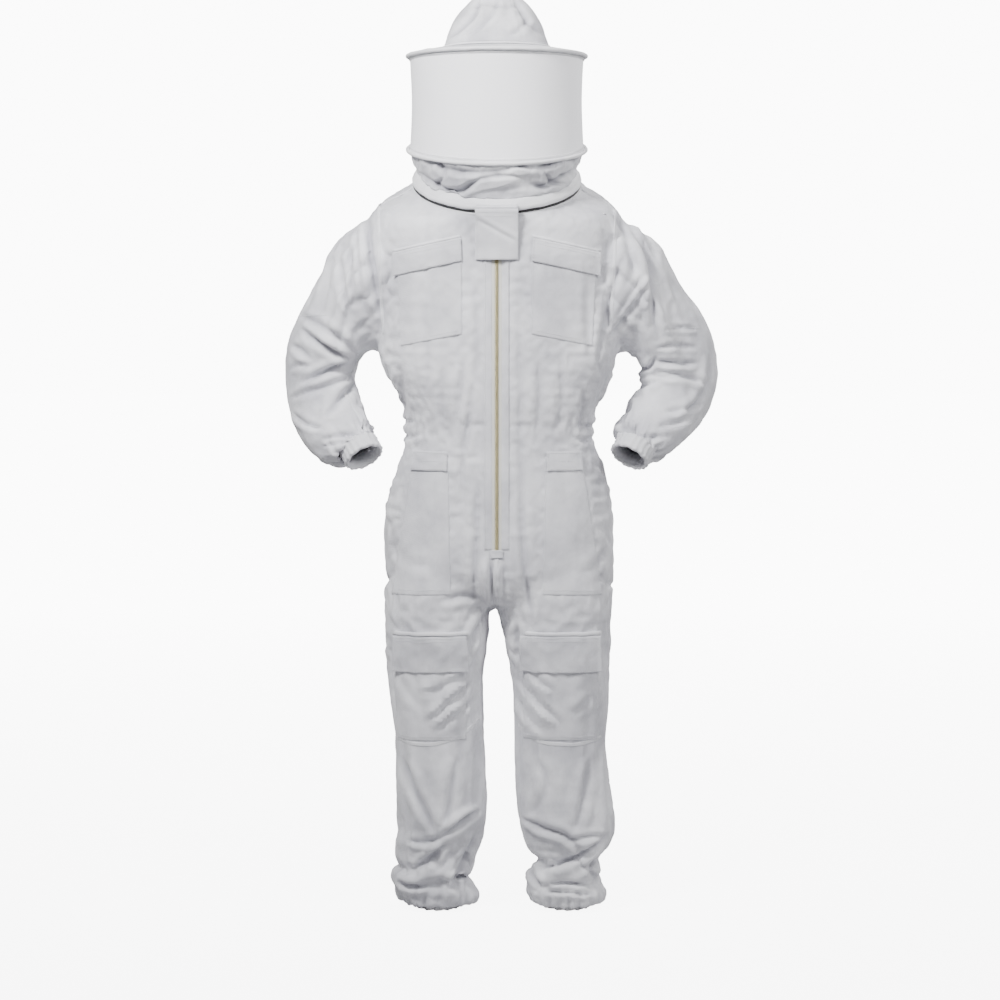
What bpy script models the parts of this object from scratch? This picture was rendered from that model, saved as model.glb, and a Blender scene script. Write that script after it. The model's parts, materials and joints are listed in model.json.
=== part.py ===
"""Beekeeping suit: a one-piece cotton coverall with a zip-on round veil.

Metres, +Z up, the wearer faces -Y, and the wearer's left is +X.
The origin is on the floor line of the ankle hems, under the middle of the garment.
"""

import math

import bmesh
import bpy
from mathutils import Matrix, Vector

# Driving dimensions
FABRIC = 0.0025            # thickness of the folded and lined cotton
GAP = 0.0004               # clearance between pieces that are sewn together
SEAM_LIFT = 0.0028         # how far a patch stands off the panel under it

CROTCH_Z = 0.585
ZIP_BOTTOM_Z = 0.697
ZIP_LENGTH = 0.612
ZIP_SLOPE = 0.0189         # how far the front leans forward per metre of height
ZIP_SLOT = 0.0065          # half width between the two front panels

NECK_CENTRE = Vector((0.0, 0.0, 1.384))
NECK_TILT = math.radians(23.0)
NECK_RADIUS = 0.1560
NECKLINE_DROP = 0.0160      # the panels end this far below the neck zip

SHOULDER = Vector((0.180, 0.0, 1.295))
ELBOW = Vector((0.352, 0.050, 1.043))
WRIST = Vector((0.248, -0.070, 0.868))
SLEEVE_RADIUS = 0.061
WRIST_RADIUS = 0.037
CUFF_LENGTH = 0.031

HIP_Z = 0.740
HIP_SWEEP = 0.200          # the pelvis stays within this radius of the hip axis
KNEE = Vector((0.0, -0.005, 0.335))
STANCE_SHIFT = 0.0115      # the feet stand a little to the wearer's left
ANKLE_CUFF_HEIGHT = 0.031

HOOP_RADIUS = 0.1675
HOOP_WIRE = 0.0042
UPPER_HOOP_Z = 1.620
HOOP_STEPS = 40
LOWER_HOOP_Z = 1.447
LOWER_HOOP_TILT = math.radians(12.5)
CROWN_RADIUS = 0.099
CROWN_BASE_Z = 1.636
CROWN_TOP_Z = 1.738

# Torso sections: height at the side, slope towards the back, half width, back depth, roundness power
TORSO_SECTIONS = (
    (0.600, 0.00, 0.204, 0.122, 2.6),
    (0.650, 0.00, 0.211, 0.130, 2.6),
    (0.686, 0.00, 0.211, 0.129, 2.6),
    (0.692, 0.00, 0.211, 0.129, 2.6),
    (0.760, 0.00, 0.211, 0.126, 2.6),
    (0.850, 0.00, 0.189, 0.108, 2.6),
    (0.920, 0.00, 0.174, 0.098, 2.6),
    (1.000, 0.00, 0.185, 0.106, 2.8),
    (1.090, 0.00, 0.194, 0.114, 3.0),
    (1.200, 0.00, 0.195, 0.120, 3.0),
    (1.270, 0.00, 0.212, 0.125, 2.8),
    (1.302, 0.12, 0.238, 0.129, 2.6),
    (1.324, 0.18, 0.231, 0.133, 2.5),
    (1.342, 0.27, 0.211, 0.137, 2.3),
    (1.355, 0.34, 0.186, 0.140, 2.1),
)

# Leg sections: height, inner and outer distance from the middle, front and back depth
LEG_SECTIONS = (
    (0.560, 0.015, 0.208, -0.118, 0.108),
    (0.460, 0.028, 0.208, -0.104, 0.096),
    (0.335, 0.034, 0.197, -0.090, 0.080),
    (0.220, 0.033, 0.202, -0.082, 0.084),
    (0.130, 0.044, 0.202, -0.074, 0.080),
    (0.060, 0.058, 0.194, -0.064, 0.066),
    (0.032, 0.072, 0.178, -0.056, 0.056),
    (0.000, 0.079, 0.170, -0.052, 0.052),
)
LEG_POWER = 2.6

SIDES = {"left": 1, "right": -1}

for old in list(bpy.data.objects):
    bpy.data.objects.remove(old, do_unlink=True)

suit = bpy.data.collections.new("beekeeping_suit")
cutters = bpy.data.collections.new("cutters")
bpy.context.scene.collection.children.link(suit)
bpy.context.scene.collection.children.link(cutters)


# Materials

def make_material(name, colour, roughness, metallic=0.0):
    """A Principled material of one colour."""
    material = bpy.data.materials.new(name)
    material.use_nodes = True
    shader = material.node_tree.nodes["Principled BSDF"]
    shader.inputs["Base Color"].default_value = (*colour, 1.0)
    shader.inputs["Roughness"].default_value = roughness
    shader.inputs["Metallic"].default_value = metallic
    return material


FINISHES = {
    "cotton": ((0.80, 0.80, 0.84), 0.85, 0.0),
    "binding": ((0.86, 0.86, 0.89), 0.75, 0.0),
    "net": ((0.88, 0.88, 0.92), 0.60, 0.0),
    "elastic": ((0.78, 0.78, 0.80), 0.80, 0.0),
    "tape": ((0.74, 0.73, 0.68), 0.80, 0.0),
    "brass": ((0.62, 0.47, 0.20), 0.35, 1.0),
    "black_nylon": ((0.03, 0.03, 0.03), 0.50, 0.0),
}


# Shape helpers

def add_object(name, mesh, finish):
    """Puts a mesh into the suit as a named sub-part with its own material."""
    item = bpy.data.objects.new(name, mesh)
    mesh.materials.append(make_material(name + "_" + finish, *FINISHES[finish]))
    suit.objects.link(item)
    return item


def thicken(item, thickness=FABRIC, side=-1.0):
    """Gives an open sheet its thickness, by default on its inner side."""
    solidify = item.modifiers.new("thickness", "SOLIDIFY")
    solidify.thickness = thickness
    solidify.offset = side
    solidify.use_even_offset = True


def sheet(name, rows, finish, closed=False, thickness=FABRIC, side=-1.0):
    """A sheet lofted through rows of points that run anticlockwise and upwards."""
    mesh = bpy.data.meshes.new(name)
    build = bmesh.new()
    grid = [[build.verts.new(point) for point in row] for row in rows]
    columns = len(rows[0])
    for low, high in zip(grid, grid[1:]):
        for i in range(columns if closed else columns - 1):
            j = (i + 1) % columns
            build.faces.new((low[i], low[j], high[j], high[i]))
    build.to_mesh(mesh)
    build.free()
    mesh.shade_smooth()
    item = add_object(name, mesh, finish)
    thicken(item, thickness, side)
    return item


def plate(name, size, centre, finish, parent=None):
    """A small block with softened edges, placed in its parent's frame."""
    mesh = bpy.data.meshes.new(name)
    build = bmesh.new()
    bmesh.ops.create_cube(build, size=1.0, matrix=Matrix.Diagonal((*size, 1.0)))
    build.to_mesh(mesh)
    build.free()
    item = add_object(name, mesh, finish)
    item.location = centre
    item.parent = parent
    bevel = item.modifiers.new("edges", "BEVEL")
    bevel.width = min(size) * 0.25
    bevel.segments = 1
    return item


def hoop(name, radius, wire, finish, frame):
    """A closed wire ring in a frame's XY plane."""
    bpy.ops.mesh.primitive_torus_add(
        major_radius=radius, minor_radius=wire, major_segments=HOOP_STEPS, minor_segments=6)
    ring = bpy.context.object
    ring.name = name
    for owner in list(ring.users_collection):
        owner.objects.unlink(ring)
    suit.objects.link(ring)
    ring.data.materials.append(make_material(name + "_" + finish, *FINISHES[finish]))
    ring.data.shade_smooth()
    ring.parent = frame
    return ring


def add_frame(name, location, turn=(0.0, 0.0, 0.0), parent=None):
    """An empty that carries a group of pieces, or sits on a joint's axis."""
    frame = bpy.data.objects.new(name, None)
    frame.location = location
    frame.rotation_euler = turn
    frame.parent = parent
    frame.empty_display_size = 0.03
    suit.objects.link(frame)
    return frame


def signed_power(value, exponent):
    return math.copysign(abs(value) ** exponent, value)


def oval(centre, u, v, power=2.0, count=18, start=0.0):
    """Points of a rounded ring about a centre, spanned by two half axes."""
    points = []
    for i in range(count):
        angle = start + math.tau * i / count
        across = signed_power(math.cos(angle), 2.0 / power)
        along = signed_power(math.sin(angle), 2.0 / power)
        points.append(centre + u * across + v * along)
    return points


def blend_values(sections, height):
    """Values of a table of sections at a height, joined by straight lines."""
    ordered = sorted(sections)
    height = min(max(height, ordered[0][0]), ordered[-1][0])
    for low, high in zip(ordered, ordered[1:]):
        if height <= high[0]:
            share = (height - low[0]) / (high[0] - low[0])
            return [a + (b - a) * share for a, b in zip(low[1:], high[1:])]
    return list(ordered[-1][1:])


# Torso

def zip_line_y(height):
    """The front centre line leans forward evenly from the crotch to the neck."""
    return -(0.130 + ZIP_SLOPE * (height - CROTCH_Z))


def torso_section(row):
    """Centre, half width, half depth, power and slope of one torso section."""
    height, slope, half_width, back, power = row
    front = zip_line_y(height) / (1.0 + ZIP_SLOPE * slope)
    return height, slope, half_width, 0.5 * (front + back), 0.5 * (back - front), power


def neck_section(drop):
    """The circular neckline, a little below the neck zip."""
    centre = NECK_CENTRE - Vector((0.0, -math.sin(NECK_TILT), math.cos(NECK_TILT))) * drop
    depth = NECK_RADIUS * math.cos(NECK_TILT)
    slope = math.tan(NECK_TILT)
    return centre.z - slope * centre.y, slope, NECK_RADIUS, centre.y, depth, 2.0


def torso_rows(first_edge, last_edge, count, inset=0.0):
    """Rows of points round the torso between two edge rules, from crotch to neckline.

    An edge rule gives the angle at which a row starts or ends for a section.
    """
    sections = [torso_section(row) for row in TORSO_SECTIONS] + [neck_section(NECKLINE_DROP)]
    rows = []
    for number, section in enumerate(sections):
        height, slope, half_width, middle, half_depth, power = section
        half_width -= inset
        half_depth -= inset
        begin = first_edge(half_width, half_depth, power, height)
        end = last_edge(half_width, half_depth, power, height)
        row = []
        for i in range(count + 1):
            angle = begin + (end - begin) * i / count
            x = half_width * signed_power(math.cos(angle), 2.0 / power)
            y = middle + half_depth * signed_power(math.sin(angle), 2.0 / power)
            z = height + slope * y
            if number == 0:
                z = HIP_Z - math.sqrt(HIP_SWEEP ** 2 - y ** 2)
            row.append(Vector((x, y, z)))
        rows.append(row)
    return rows


def angle_at_x(x, half_width, power):
    return math.acos((x / half_width) ** (power / 2.0))


def angle_at_y(y, half_depth, power):
    return math.asin((y / half_depth) ** (power / 2.0))


def front_edge(half_width, half_depth, power, height):
    """Beside the zip, or closed to a seam below it."""
    x = ZIP_SLOT if height > ZIP_BOTTOM_Z - 0.010 else GAP
    return -angle_at_x(x, half_width, power)


def side_edge_front(half_width, half_depth, power, height):
    return -angle_at_y(GAP, half_depth, power)


def side_edge_back(half_width, half_depth, power, height):
    return angle_at_y(GAP, half_depth, power)


def far_side_edge_back(half_width, half_depth, power, height):
    return math.pi - angle_at_y(GAP, half_depth, power)


def mirrored(rows):
    """The same rows on the wearer's right, still running anticlockwise."""
    return [[Vector((-p.x, p.y, p.z)) for p in reversed(row)] for row in rows]


def torso_front_y(x, z):
    """Depth of the front of the torso at a place on it."""
    _, half_width, back, power = blend_values(TORSO_SECTIONS, z)
    front = zip_line_y(z)
    share = min(abs(x) / half_width, 0.999)
    middle = 0.5 * (front + back)
    return middle - 0.5 * (back - front) * (1.0 - share ** power) ** (1.0 / power)


def armhole_cutter(name, side):
    """An oval bar across the side of the torso, where the sleeve's arm goes in."""
    bpy.ops.mesh.primitive_cylinder_add(vertices=20, radius=1.0, depth=0.16)
    bar = bpy.context.object
    bar.name = name
    for owner in list(bar.users_collection):
        owner.objects.unlink(bar)
    cutters.objects.link(bar)
    bar.data.transform(Matrix.Diagonal((0.080, 0.070, 1.0, 1.0)))
    bar.rotation_euler = (0.0, math.pi / 2.0, 0.0)
    bar.location = (side * 0.235, 0.0, 1.198)
    bar.hide_render = True
    bar.display_type = "WIRE"
    return bar


def cut(item, cutter):
    boolean = item.modifiers.new("armhole", "BOOLEAN")
    boolean.operation = "DIFFERENCE"
    boolean.solver = "EXACT"
    boolean.object = cutter


def build_torso():
    holes = {name: armhole_cutter("armhole_cutter_" + name, side) for name, side in SIDES.items()}
    rows = torso_rows(front_edge, side_edge_front, 9)
    left = sheet("front_panel_left", rows, "cotton")
    right = sheet("front_panel_right", mirrored(rows), "cotton")
    back = sheet("back_panel", torso_rows(side_edge_back, far_side_edge_back, 18), "cotton")
    cut(left, holes["left"])
    cut(right, holes["right"])
    cut(back, holes["left"])
    cut(back, holes["right"])


def build_crotch_gusset():
    """A strip that hangs between the legs from the front panels to the back panel."""
    radius = 0.180
    reach = math.asin(0.118 / radius)
    rows = []
    for x in (0.012, -0.012):
        row = []
        for i in range(11):
            angle = -reach + 2.0 * reach * i / 10
            row.append(Vector((x, radius * math.sin(angle), HIP_Z - radius * math.cos(angle))))
        rows.append(row)
    sheet("crotch_gusset", rows, "cotton")


def build_waist_elastic():
    """A flat band inside the back of the waist, from side seam to side seam."""
    low, high = 0.905, 0.935
    rows = []
    for z in (low, high):
        slope, half_width, back, power = blend_values(TORSO_SECTIONS, z)
        front = zip_line_y(z)
        inset = FABRIC + 0.0036
        centre = Vector((0.0, 0.5 * (front + back), z))
        ring = oval(centre, Vector((half_width - inset, 0, 0)),
                    Vector((0, 0.5 * (back - front) - inset, 0)), power, 48)
        rows.append(ring[1:24])
    sheet("waist_elastic", rows, "elastic", thickness=0.0015)


# Main zip

def build_main_zip():
    """Tapes behind the panels, the chain in the slot, and the folded edges beside it."""
    frame = add_frame("main_zip_frame", (0.0, zip_line_y(ZIP_BOTTOM_Z), ZIP_BOTTOM_Z),
                      (math.atan(ZIP_SLOPE), 0.0, 0.0))
    half = ZIP_LENGTH / 2.0
    plate("main_zip_chain", (0.0060, 0.0022, ZIP_LENGTH), (0.0, 0.0007, half), "brass", frame)
    plate("main_zip_bottom_stop", (0.0230, 0.0022, 0.0110), (0.0, -0.0021, -0.0070), "cotton", frame)
    for name, side in SIDES.items():
        plate("main_zip_tape_" + name, (0.0120, 0.0010, ZIP_LENGTH - 0.012),
              (side * 0.0100, 0.0045, half - 0.006), "tape", frame)
        plate("placket_" + name, (0.0105, 0.0012, ZIP_LENGTH - 0.020),
              (side * 0.0130, -0.0014, half - 0.008), "cotton", frame)
    top = ZIP_LENGTH - 0.012
    slider_frame = add_frame("main_zip_slider_frame", (0.0, -0.0025, top), parent=frame)
    plate("main_zip_slider", (0.0100, 0.0030, 0.0130), (0.0, 0.0, 0.0), "brass", slider_frame)
    pull_frame = add_frame("main_zip_pull_frame", (0.0, -0.0028, 0.0), parent=slider_frame)
    plate("main_zip_pull", (0.0056, 0.0014, 0.0240), (0.0, 0.0, -0.0120), "brass", pull_frame)


# Pockets

def surface_patch(name, corners, surface, lift, thickness, finish, columns=7, rows=3):
    """A patch that follows a surface, between inner low, outer low, outer high and inner high."""
    low_in, low_out, high_out, high_in = corners
    grid = []
    for j in range(rows + 1):
        v = j / rows
        row = []
        for i in range(columns + 1):
            u = i / columns
            x = (low_in[0] + (low_out[0] - low_in[0]) * u) * (1 - v)
            x += (high_in[0] + (high_out[0] - high_in[0]) * u) * v
            z = (low_in[1] + (low_out[1] - low_in[1]) * u) * (1 - v)
            z += (high_in[1] + (high_out[1] - high_in[1]) * u) * v
            row.append((x, z))
        grid.append(row)
    points = [[outward_point(x, z, surface, lift) for x, z in row] for row in grid]
    if corners[1][0] < corners[0][0]:
        points = [list(reversed(row)) for row in points]
    return sheet(name, points, finish, thickness=thickness, side=1.0)


def outward_point(x, z, surface, lift):
    """A point lifted off a front surface along its direction in plan."""
    step = 0.002
    y = surface(x, z)
    slope = (surface(x + step, z) - surface(x - step, z)) / (2.0 * step)
    away = Vector((slope, -1.0, 0.0)).normalized()
    return Vector((x, y, z)) + away * lift


def mirrored_corners(corners, side):
    return [(side * x, z) for x, z in corners]


def hinged_flap(name, inner_top, outer_top, height, surface, lift):
    """A flat flap whose top edge is its hinge, laid tangent to the rounded surface under it.

    Its frame has X along the hinge, and -Y facing away from the body.
    """
    start = Vector((inner_top[0], surface(*inner_top), inner_top[1]))
    end = Vector((outer_top[0], surface(*outer_top), outer_top[1]))
    stand = 0.0
    for drop in (0.0, height):
        for i in range(13):
            share = i / 12
            x = inner_top[0] + (outer_top[0] - inner_top[0]) * share
            z = inner_top[1] + (outer_top[1] - inner_top[1]) * share
            chord = start.y + (end.y - start.y) * share
            stand = max(stand, chord - surface(x, z - drop))
    along = (end - start).normalized()
    if along.x < 0.0:
        along = -along
        start, end = end, start
    away = along.cross(Vector((0.0, 0.0, 1.0))).normalized()
    up = away.cross(along).normalized() * -1.0
    if up.z < 0.0:
        up = -up
    turn = Matrix((along, -away, up)).transposed().to_euler()
    middle = (start + end) / 2.0 + away * (stand + lift)
    frame = add_frame(name + "_hinge", middle, turn)
    length = (end - start).length
    plate(name, (length, 0.0020, height), (0.0, 0.0, -height / 2.0), "cotton", frame)
    return frame


CHEST_POCKET = ((0.070, 1.102), (0.168, 1.088), (0.172, 1.222), (0.070, 1.248))
CHEST_FLAP = ((0.066, 1.277), (0.176, 1.254))
HIP_POCKET = ((0.082, 0.614), (0.186, 0.614), (0.160, 0.860), (0.090, 0.860))
HIP_WELT = ((0.092, 0.836), (0.158, 0.836), (0.155, 0.862), (0.092, 0.862))
FLAP_LIFT = 0.0070
FLAP_HEIGHT = 0.044


def build_torso_pockets():
    for name, side in SIDES.items():
        surface_patch("chest_pocket_" + name, mirrored_corners(CHEST_POCKET, side),
                      torso_front_y, SEAM_LIFT, 0.0020, "cotton")
        surface_patch("hip_pocket_" + name, mirrored_corners(HIP_POCKET, side),
                      torso_front_y, SEAM_LIFT, 0.0020, "cotton", rows=4)
        surface_patch("hip_pocket_welt_" + name, mirrored_corners(HIP_WELT, side),
                      torso_front_y, SEAM_LIFT + 0.0032, 0.0018, "cotton", rows=1)
        inner, outer = mirrored_corners(CHEST_FLAP, side)
        hinged_flap("chest_flap_" + name, inner, outer, FLAP_HEIGHT, torso_front_y, FLAP_LIFT)


# Legs

def leg_ring(side, height, level, count=20):
    """A ring round a leg, at the height that a rule gives for each depth."""
    inner, outer, front, back = blend_values(LEG_SECTIONS, height)
    shift = STANCE_SHIFT * (1.0 - min(height / CROTCH_Z, 1.0))
    centre = Vector((side * 0.5 * (inner + outer) + shift, 0.5 * (front + back), 0.0))
    across = Vector((0.5 * (outer - inner), 0.0, 0.0))
    points = oval(centre, across, Vector((0.0, 0.5 * (back - front), 0.0)), LEG_POWER, count)
    for point in points:
        point.z = level(point.y)
    return points


def at_height(height):
    return lambda y: height


def under_hip(y):
    """Just clear of the pelvis when the leg swings."""
    return HIP_Z - math.sqrt((HIP_SWEEP + 0.0035) ** 2 - y ** 2)


def knee_mitre(direction):
    """A plane that opens towards the back, so the calf can fold against the thigh."""
    open_angle = math.radians(42.0)
    depth = 0.085
    rise = depth * math.tan(open_angle)
    front_y = KNEE.y - depth
    return lambda y: KNEE.z + direction * (0.0015 + rise * (y - front_y) / (2.0 * depth))


def leg_front_y(side):
    """Depth rule for the front of one thigh."""
    def surface(x, z):
        inner, outer, front, back = blend_values(LEG_SECTIONS, z)
        shift = STANCE_SHIFT * (1.0 - min(z / CROTCH_Z, 1.0))
        centre = side * 0.5 * (inner + outer) + shift
        share = min(abs(x - centre) / (0.5 * (outer - inner)), 0.999)
        middle = 0.5 * (front + back)
        return middle - 0.5 * (back - front) * (1.0 - share ** LEG_POWER) ** (1.0 / LEG_POWER)
    return surface


THIGH_POCKET = ((0.060, 0.345), (0.176, 0.345), (0.176, 0.500), (0.060, 0.500))
THIGH_FLAP = ((0.058, 0.534), (0.180, 0.534))


def build_leg(name, side):
    thigh = [
        leg_ring(side, 0.335, knee_mitre(1.0)),
        leg_ring(side, 0.440, at_height(0.440)),
        leg_ring(side, 0.500, at_height(0.500)),
        leg_ring(side, 0.560, under_hip),
    ]
    sheet("thigh_" + name, thigh, "cotton", closed=True)
    shin = [leg_ring(side, z, at_height(z)) for z in (0.0324, 0.060, 0.095, 0.130, 0.220)]
    shin.append(leg_ring(side, 0.335, knee_mitre(-1.0)))
    sheet("shin_" + name, shin, "cotton", closed=True)
    cuff = [leg_ring(side, 0.0, at_height(z)) for z in (0.0, ANKLE_CUFF_HEIGHT)]
    sheet("ankle_cuff_" + name, cuff, "cotton", closed=True)
    build_elastic("ankle_elastic_" + name, cuff, FABRIC + GAP)
    surface_patch("thigh_pocket_" + name, shifted(mirrored_corners(THIGH_POCKET, side)),
                  leg_front_y(side), SEAM_LIFT, 0.0020, "cotton")
    inner, outer = shifted(mirrored_corners(THIGH_FLAP, side))
    hinged_flap("thigh_flap_" + name, inner, outer, 0.068, leg_front_y(side), FLAP_LIFT)


def shifted(corners):
    """Moves pocket corners with the leg's stance."""
    return [(x + STANCE_SHIFT * (1.0 - z / CROTCH_Z), z) for x, z in corners]


def build_elastic(name, band, inset):
    """A narrow elastic that runs inside a cuff."""
    rows = []
    for share in (0.3, 0.7):
        row = [low.lerp(high, share) for low, high in zip(band[0], band[-1])]
        centre = sum(row, Vector()) / len(row)
        rows.append([point + (centre - point).normalized() * inset for point in row])
    sheet(name, rows, "elastic", closed=True, thickness=0.0012)


# Sleeves

def mirror_x(vector, side):
    return Vector((side * vector.x, vector.y, vector.z))


def elbow_frame(side):
    """Directions of the upper arm, the forearm and the elbow's hinge on one side."""
    shoulder, elbow, wrist = (mirror_x(p, side) for p in (SHOULDER, ELBOW, WRIST))
    upper = (elbow - shoulder).normalized()
    lower = (wrist - elbow).normalized()
    hinge = upper.cross(lower).normalized()
    outer_upper = (upper - lower - upper * (upper - lower).dot(upper)).normalized()
    outer_lower = (upper - lower - lower * (upper - lower).dot(lower)).normalized()
    return elbow, upper, lower, hinge, outer_upper, outer_lower


def build_sleeve(name, side):
    elbow, upper, lower, hinge, outer_upper, outer_lower = elbow_frame(side)
    slant = 0.0306                      # half the mitre's length along the arm
    start = slant + 0.002
    top = Vector((side * 0.2555, 0.0, 1.303))
    armpit = Vector((side * 0.2135, 0.0, 1.100))
    across = hinge * (SLEEVE_RADIUS - 0.001)
    upper_rings = [
        oval((top + armpit) / 2.0, (top - armpit) / 2.0, Vector((0.0, side * 0.079, 0.0))),
        oval(elbow - upper * 0.115, outer_upper * 0.063, across),
        oval(elbow - upper * start, outer_upper * SLEEVE_RADIUS + upper * slant, across),
    ]
    lower_rings = [oval(elbow + lower * start, outer_lower * SLEEVE_RADIUS - lower * slant, across)]
    length = (WRIST - ELBOW).length
    gather = length - CUFF_LENGTH - GAP
    for reach, radius in ((0.105, 0.062), (0.160, 0.060), (0.187, 0.050), (gather, WRIST_RADIUS)):
        lower_rings.append(oval(elbow + lower * reach, outer_lower * radius, hinge * radius))
    cuff_rings = []
    for reach in (length - CUFF_LENGTH, length):
        cuff_rings.append(oval(elbow + lower * reach, outer_lower * WRIST_RADIUS, hinge * WRIST_RADIUS))
    parts = {"upper_sleeve_": upper_rings, "lower_sleeve_": lower_rings, "wrist_cuff_": cuff_rings}
    for part, rings in parts.items():
        sheet(part + name, outward(rings), "cotton", closed=True)
    build_elastic("wrist_elastic_" + name, outward(cuff_rings), FABRIC + GAP)
    build_elbow_patch(name, elbow, upper, hinge, outer_upper)


def outward(rings):
    """Rings ordered so that a sheet through them faces away from the arm."""
    centre = sum(rings[0], Vector()) / len(rings[0])
    further = sum(rings[1], Vector()) / len(rings[1])
    face = (rings[0][1] - rings[0][0]).cross(further - centre)
    if face.dot(rings[0][0] - centre) > 0.0:
        return rings
    return [list(reversed(ring)) for ring in rings]


def build_elbow_patch(name, elbow, upper, hinge, outer_upper):
    """A rounded second layer on the outside of the elbow, inside both sleeve tubes."""
    radius = 0.0555
    rows = []
    for i in range(7):
        turn = math.radians(66.0 + 118.0 * i / 6)
        spoke = -upper * math.cos(turn) + outer_upper * math.sin(turn)
        row = []
        for j in range(7):
            lean = math.radians(-48.0 + 96.0 * j / 6)
            row.append(elbow + spoke * (radius * math.cos(lean)) + hinge * (radius * math.sin(lean)))
        rows.append(row)
    face = (rows[0][1] - rows[0][0]).cross(rows[1][0] - rows[0][0])
    if face.dot(rows[0][0] - elbow) < 0.0:
        rows = [list(reversed(row)) for row in rows]
    sheet("elbow_patch_" + name, rows, "cotton", thickness=0.0020)


# Neck ring and veil

def flat_ring(frame_tilt, centre, radius, angles):
    """Points of a circle in a plane that is lower at the front."""
    back = Vector((0.0, math.cos(frame_tilt), math.sin(frame_tilt)))
    return [centre + Vector((1.0, 0.0, 0.0)) * (radius * math.cos(a)) + back * (radius * math.sin(a))
            for a in angles]


def circle_angles(start=0.0, end=math.tau, count=32, closed=True):
    steps = count if closed else count - 1
    return [start + (end - start) * i / steps for i in range(count)]


def neck_point(height):
    """A place on the neck ring's own axis."""
    return NECK_CENTRE + Vector((0.0, -math.sin(NECK_TILT), math.cos(NECK_TILT))) * height


def build_neck_ring():
    """The collar binding and the two halves of the neck zip."""
    frame = add_frame("neck_frame", NECK_CENTRE, (NECK_TILT, 0.0, 0.0))
    rows = [flat_ring(NECK_TILT, neck_point(h), NECK_RADIUS + 0.0010, circle_angles())
            for h in (-0.0118, -0.0026)]
    sheet("collar_binding", rows, "binding", closed=True, thickness=0.0030)
    lower = hoop("neck_zip_lower", NECK_RADIUS + 0.0005, 0.0011, "black_nylon", frame)
    lower.location = (0.0, 0.0, -0.0012)
    upper = hoop("neck_zip_upper", NECK_RADIUS + 0.0005, 0.0011, "black_nylon", frame)
    upper.location = (0.0, 0.0, 0.0015)
    for name, side in SIDES.items():
        run = add_frame("neck_zip_run_" + name, (0.0, 0.0, 0.0), (0.0, 0.0, math.radians(side * 4.0)), frame)
        reach = NECK_RADIUS + 0.0042
        plate("neck_zip_slider_" + name, (0.0100, 0.0030, 0.0070), (0.0, -reach, 0.0), "black_nylon", run)
        swing = add_frame("neck_zip_pull_hinge_" + name, (side * 0.0060, -reach - 0.0026, 0.0), parent=run)
        plate("neck_zip_pull_" + name, (0.0180, 0.0013, 0.0050), (side * 0.0090, 0.0, 0.0), "black_nylon", swing)


def lower_hoop_point(height):
    return Vector((0.0, 0.0, LOWER_HOOP_Z)) + Vector((0.0, -math.sin(LOWER_HOOP_TILT), math.cos(LOWER_HOOP_TILT))) * height


def build_veil():
    around = circle_angles()
    collar = [flat_ring(NECK_TILT, neck_point(h), r, around)
              for h, r in ((0.0032, 0.1570), (0.0090, 0.1590), (0.0180, 0.1590), (0.0255, 0.1555))]
    sheet("veil_collar", collar, "binding", closed=True, thickness=0.0050)
    skirt = [
        flat_ring(NECK_TILT, neck_point(0.0262), 0.1510, around),
        flat_ring(math.radians(18.0), Vector((0.0, -0.006, 1.425)), 0.1500, around),
        flat_ring(LOWER_HOOP_TILT, lower_hoop_point(-0.0068), 0.1610, around),
    ]
    sheet("veil_skirt", skirt, "cotton", closed=True)

    low_frame = add_frame("lower_hoop_frame", (0.0, 0.0, LOWER_HOOP_Z), (LOWER_HOOP_TILT, 0.0, 0.0))
    hoop("lower_hoop", HOOP_RADIUS, HOOP_WIRE, "binding", low_frame)
    high_frame = add_frame("upper_hoop_frame", (0.0, 0.0, UPPER_HOOP_Z))
    hoop("upper_hoop", HOOP_RADIUS, HOOP_WIRE, "binding", high_frame)

    wrap = math.radians(105.0)
    front = -math.pi / 2.0
    spans = {
        "mesh_front": ("net", circle_angles(front - wrap, front + wrap, 31, False), 0.0012),
        "rear_panel": ("cotton", circle_angles(front + wrap + 0.004, front + math.tau - wrap - 0.004, 15, False), FABRIC),
    }
    inner = HOOP_RADIUS - HOOP_WIRE - GAP
    for name, (finish, angles, thickness) in spans.items():
        rows = [
            flat_ring(LOWER_HOOP_TILT, lower_hoop_point(-0.0025), inner - 0.0018, angles),
            flat_ring(0.0, Vector((0.0, 0.0, UPPER_HOOP_Z)), inner - 0.0008, angles),
        ]
        sheet(name, rows, finish, thickness=thickness)

    brim = [
        flat_ring(0.0, Vector((0.0, 0.0, UPPER_HOOP_Z + 0.0060)), 0.1635, around),
        flat_ring(0.0, Vector((0.0, 0.0, CROWN_BASE_Z - 0.0010)), CROWN_RADIUS + 0.001, around),
    ]
    sheet("brim", brim, "cotton", closed=True)
    build_crown()


def build_crown():
    """A domed cap, turned about the vertical and open underneath."""
    height = CROWN_TOP_Z - CROWN_BASE_Z
    steps = 7
    mesh = bpy.data.meshes.new("crown")
    build = bmesh.new()
    last = None
    for i in range(steps + 1):
        angle = math.pi / 2.0 * (1.0 - i / steps)
        across = CROWN_RADIUS * math.cos(angle) ** 0.8
        point = build.verts.new((across if i else 0.0, 0.0, CROWN_BASE_Z + height * math.sin(angle)))
        if last is not None:
            build.edges.new((last, point))
        last = point
    build.to_mesh(mesh)
    build.free()
    item = add_object("crown", mesh, "cotton")
    screw = item.modifiers.new("turn", "SCREW")
    screw.steps = 24
    screw.render_steps = 24
    screw.use_merge_vertices = True
    screw.merge_threshold = 0.0001
    thicken(item)


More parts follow.
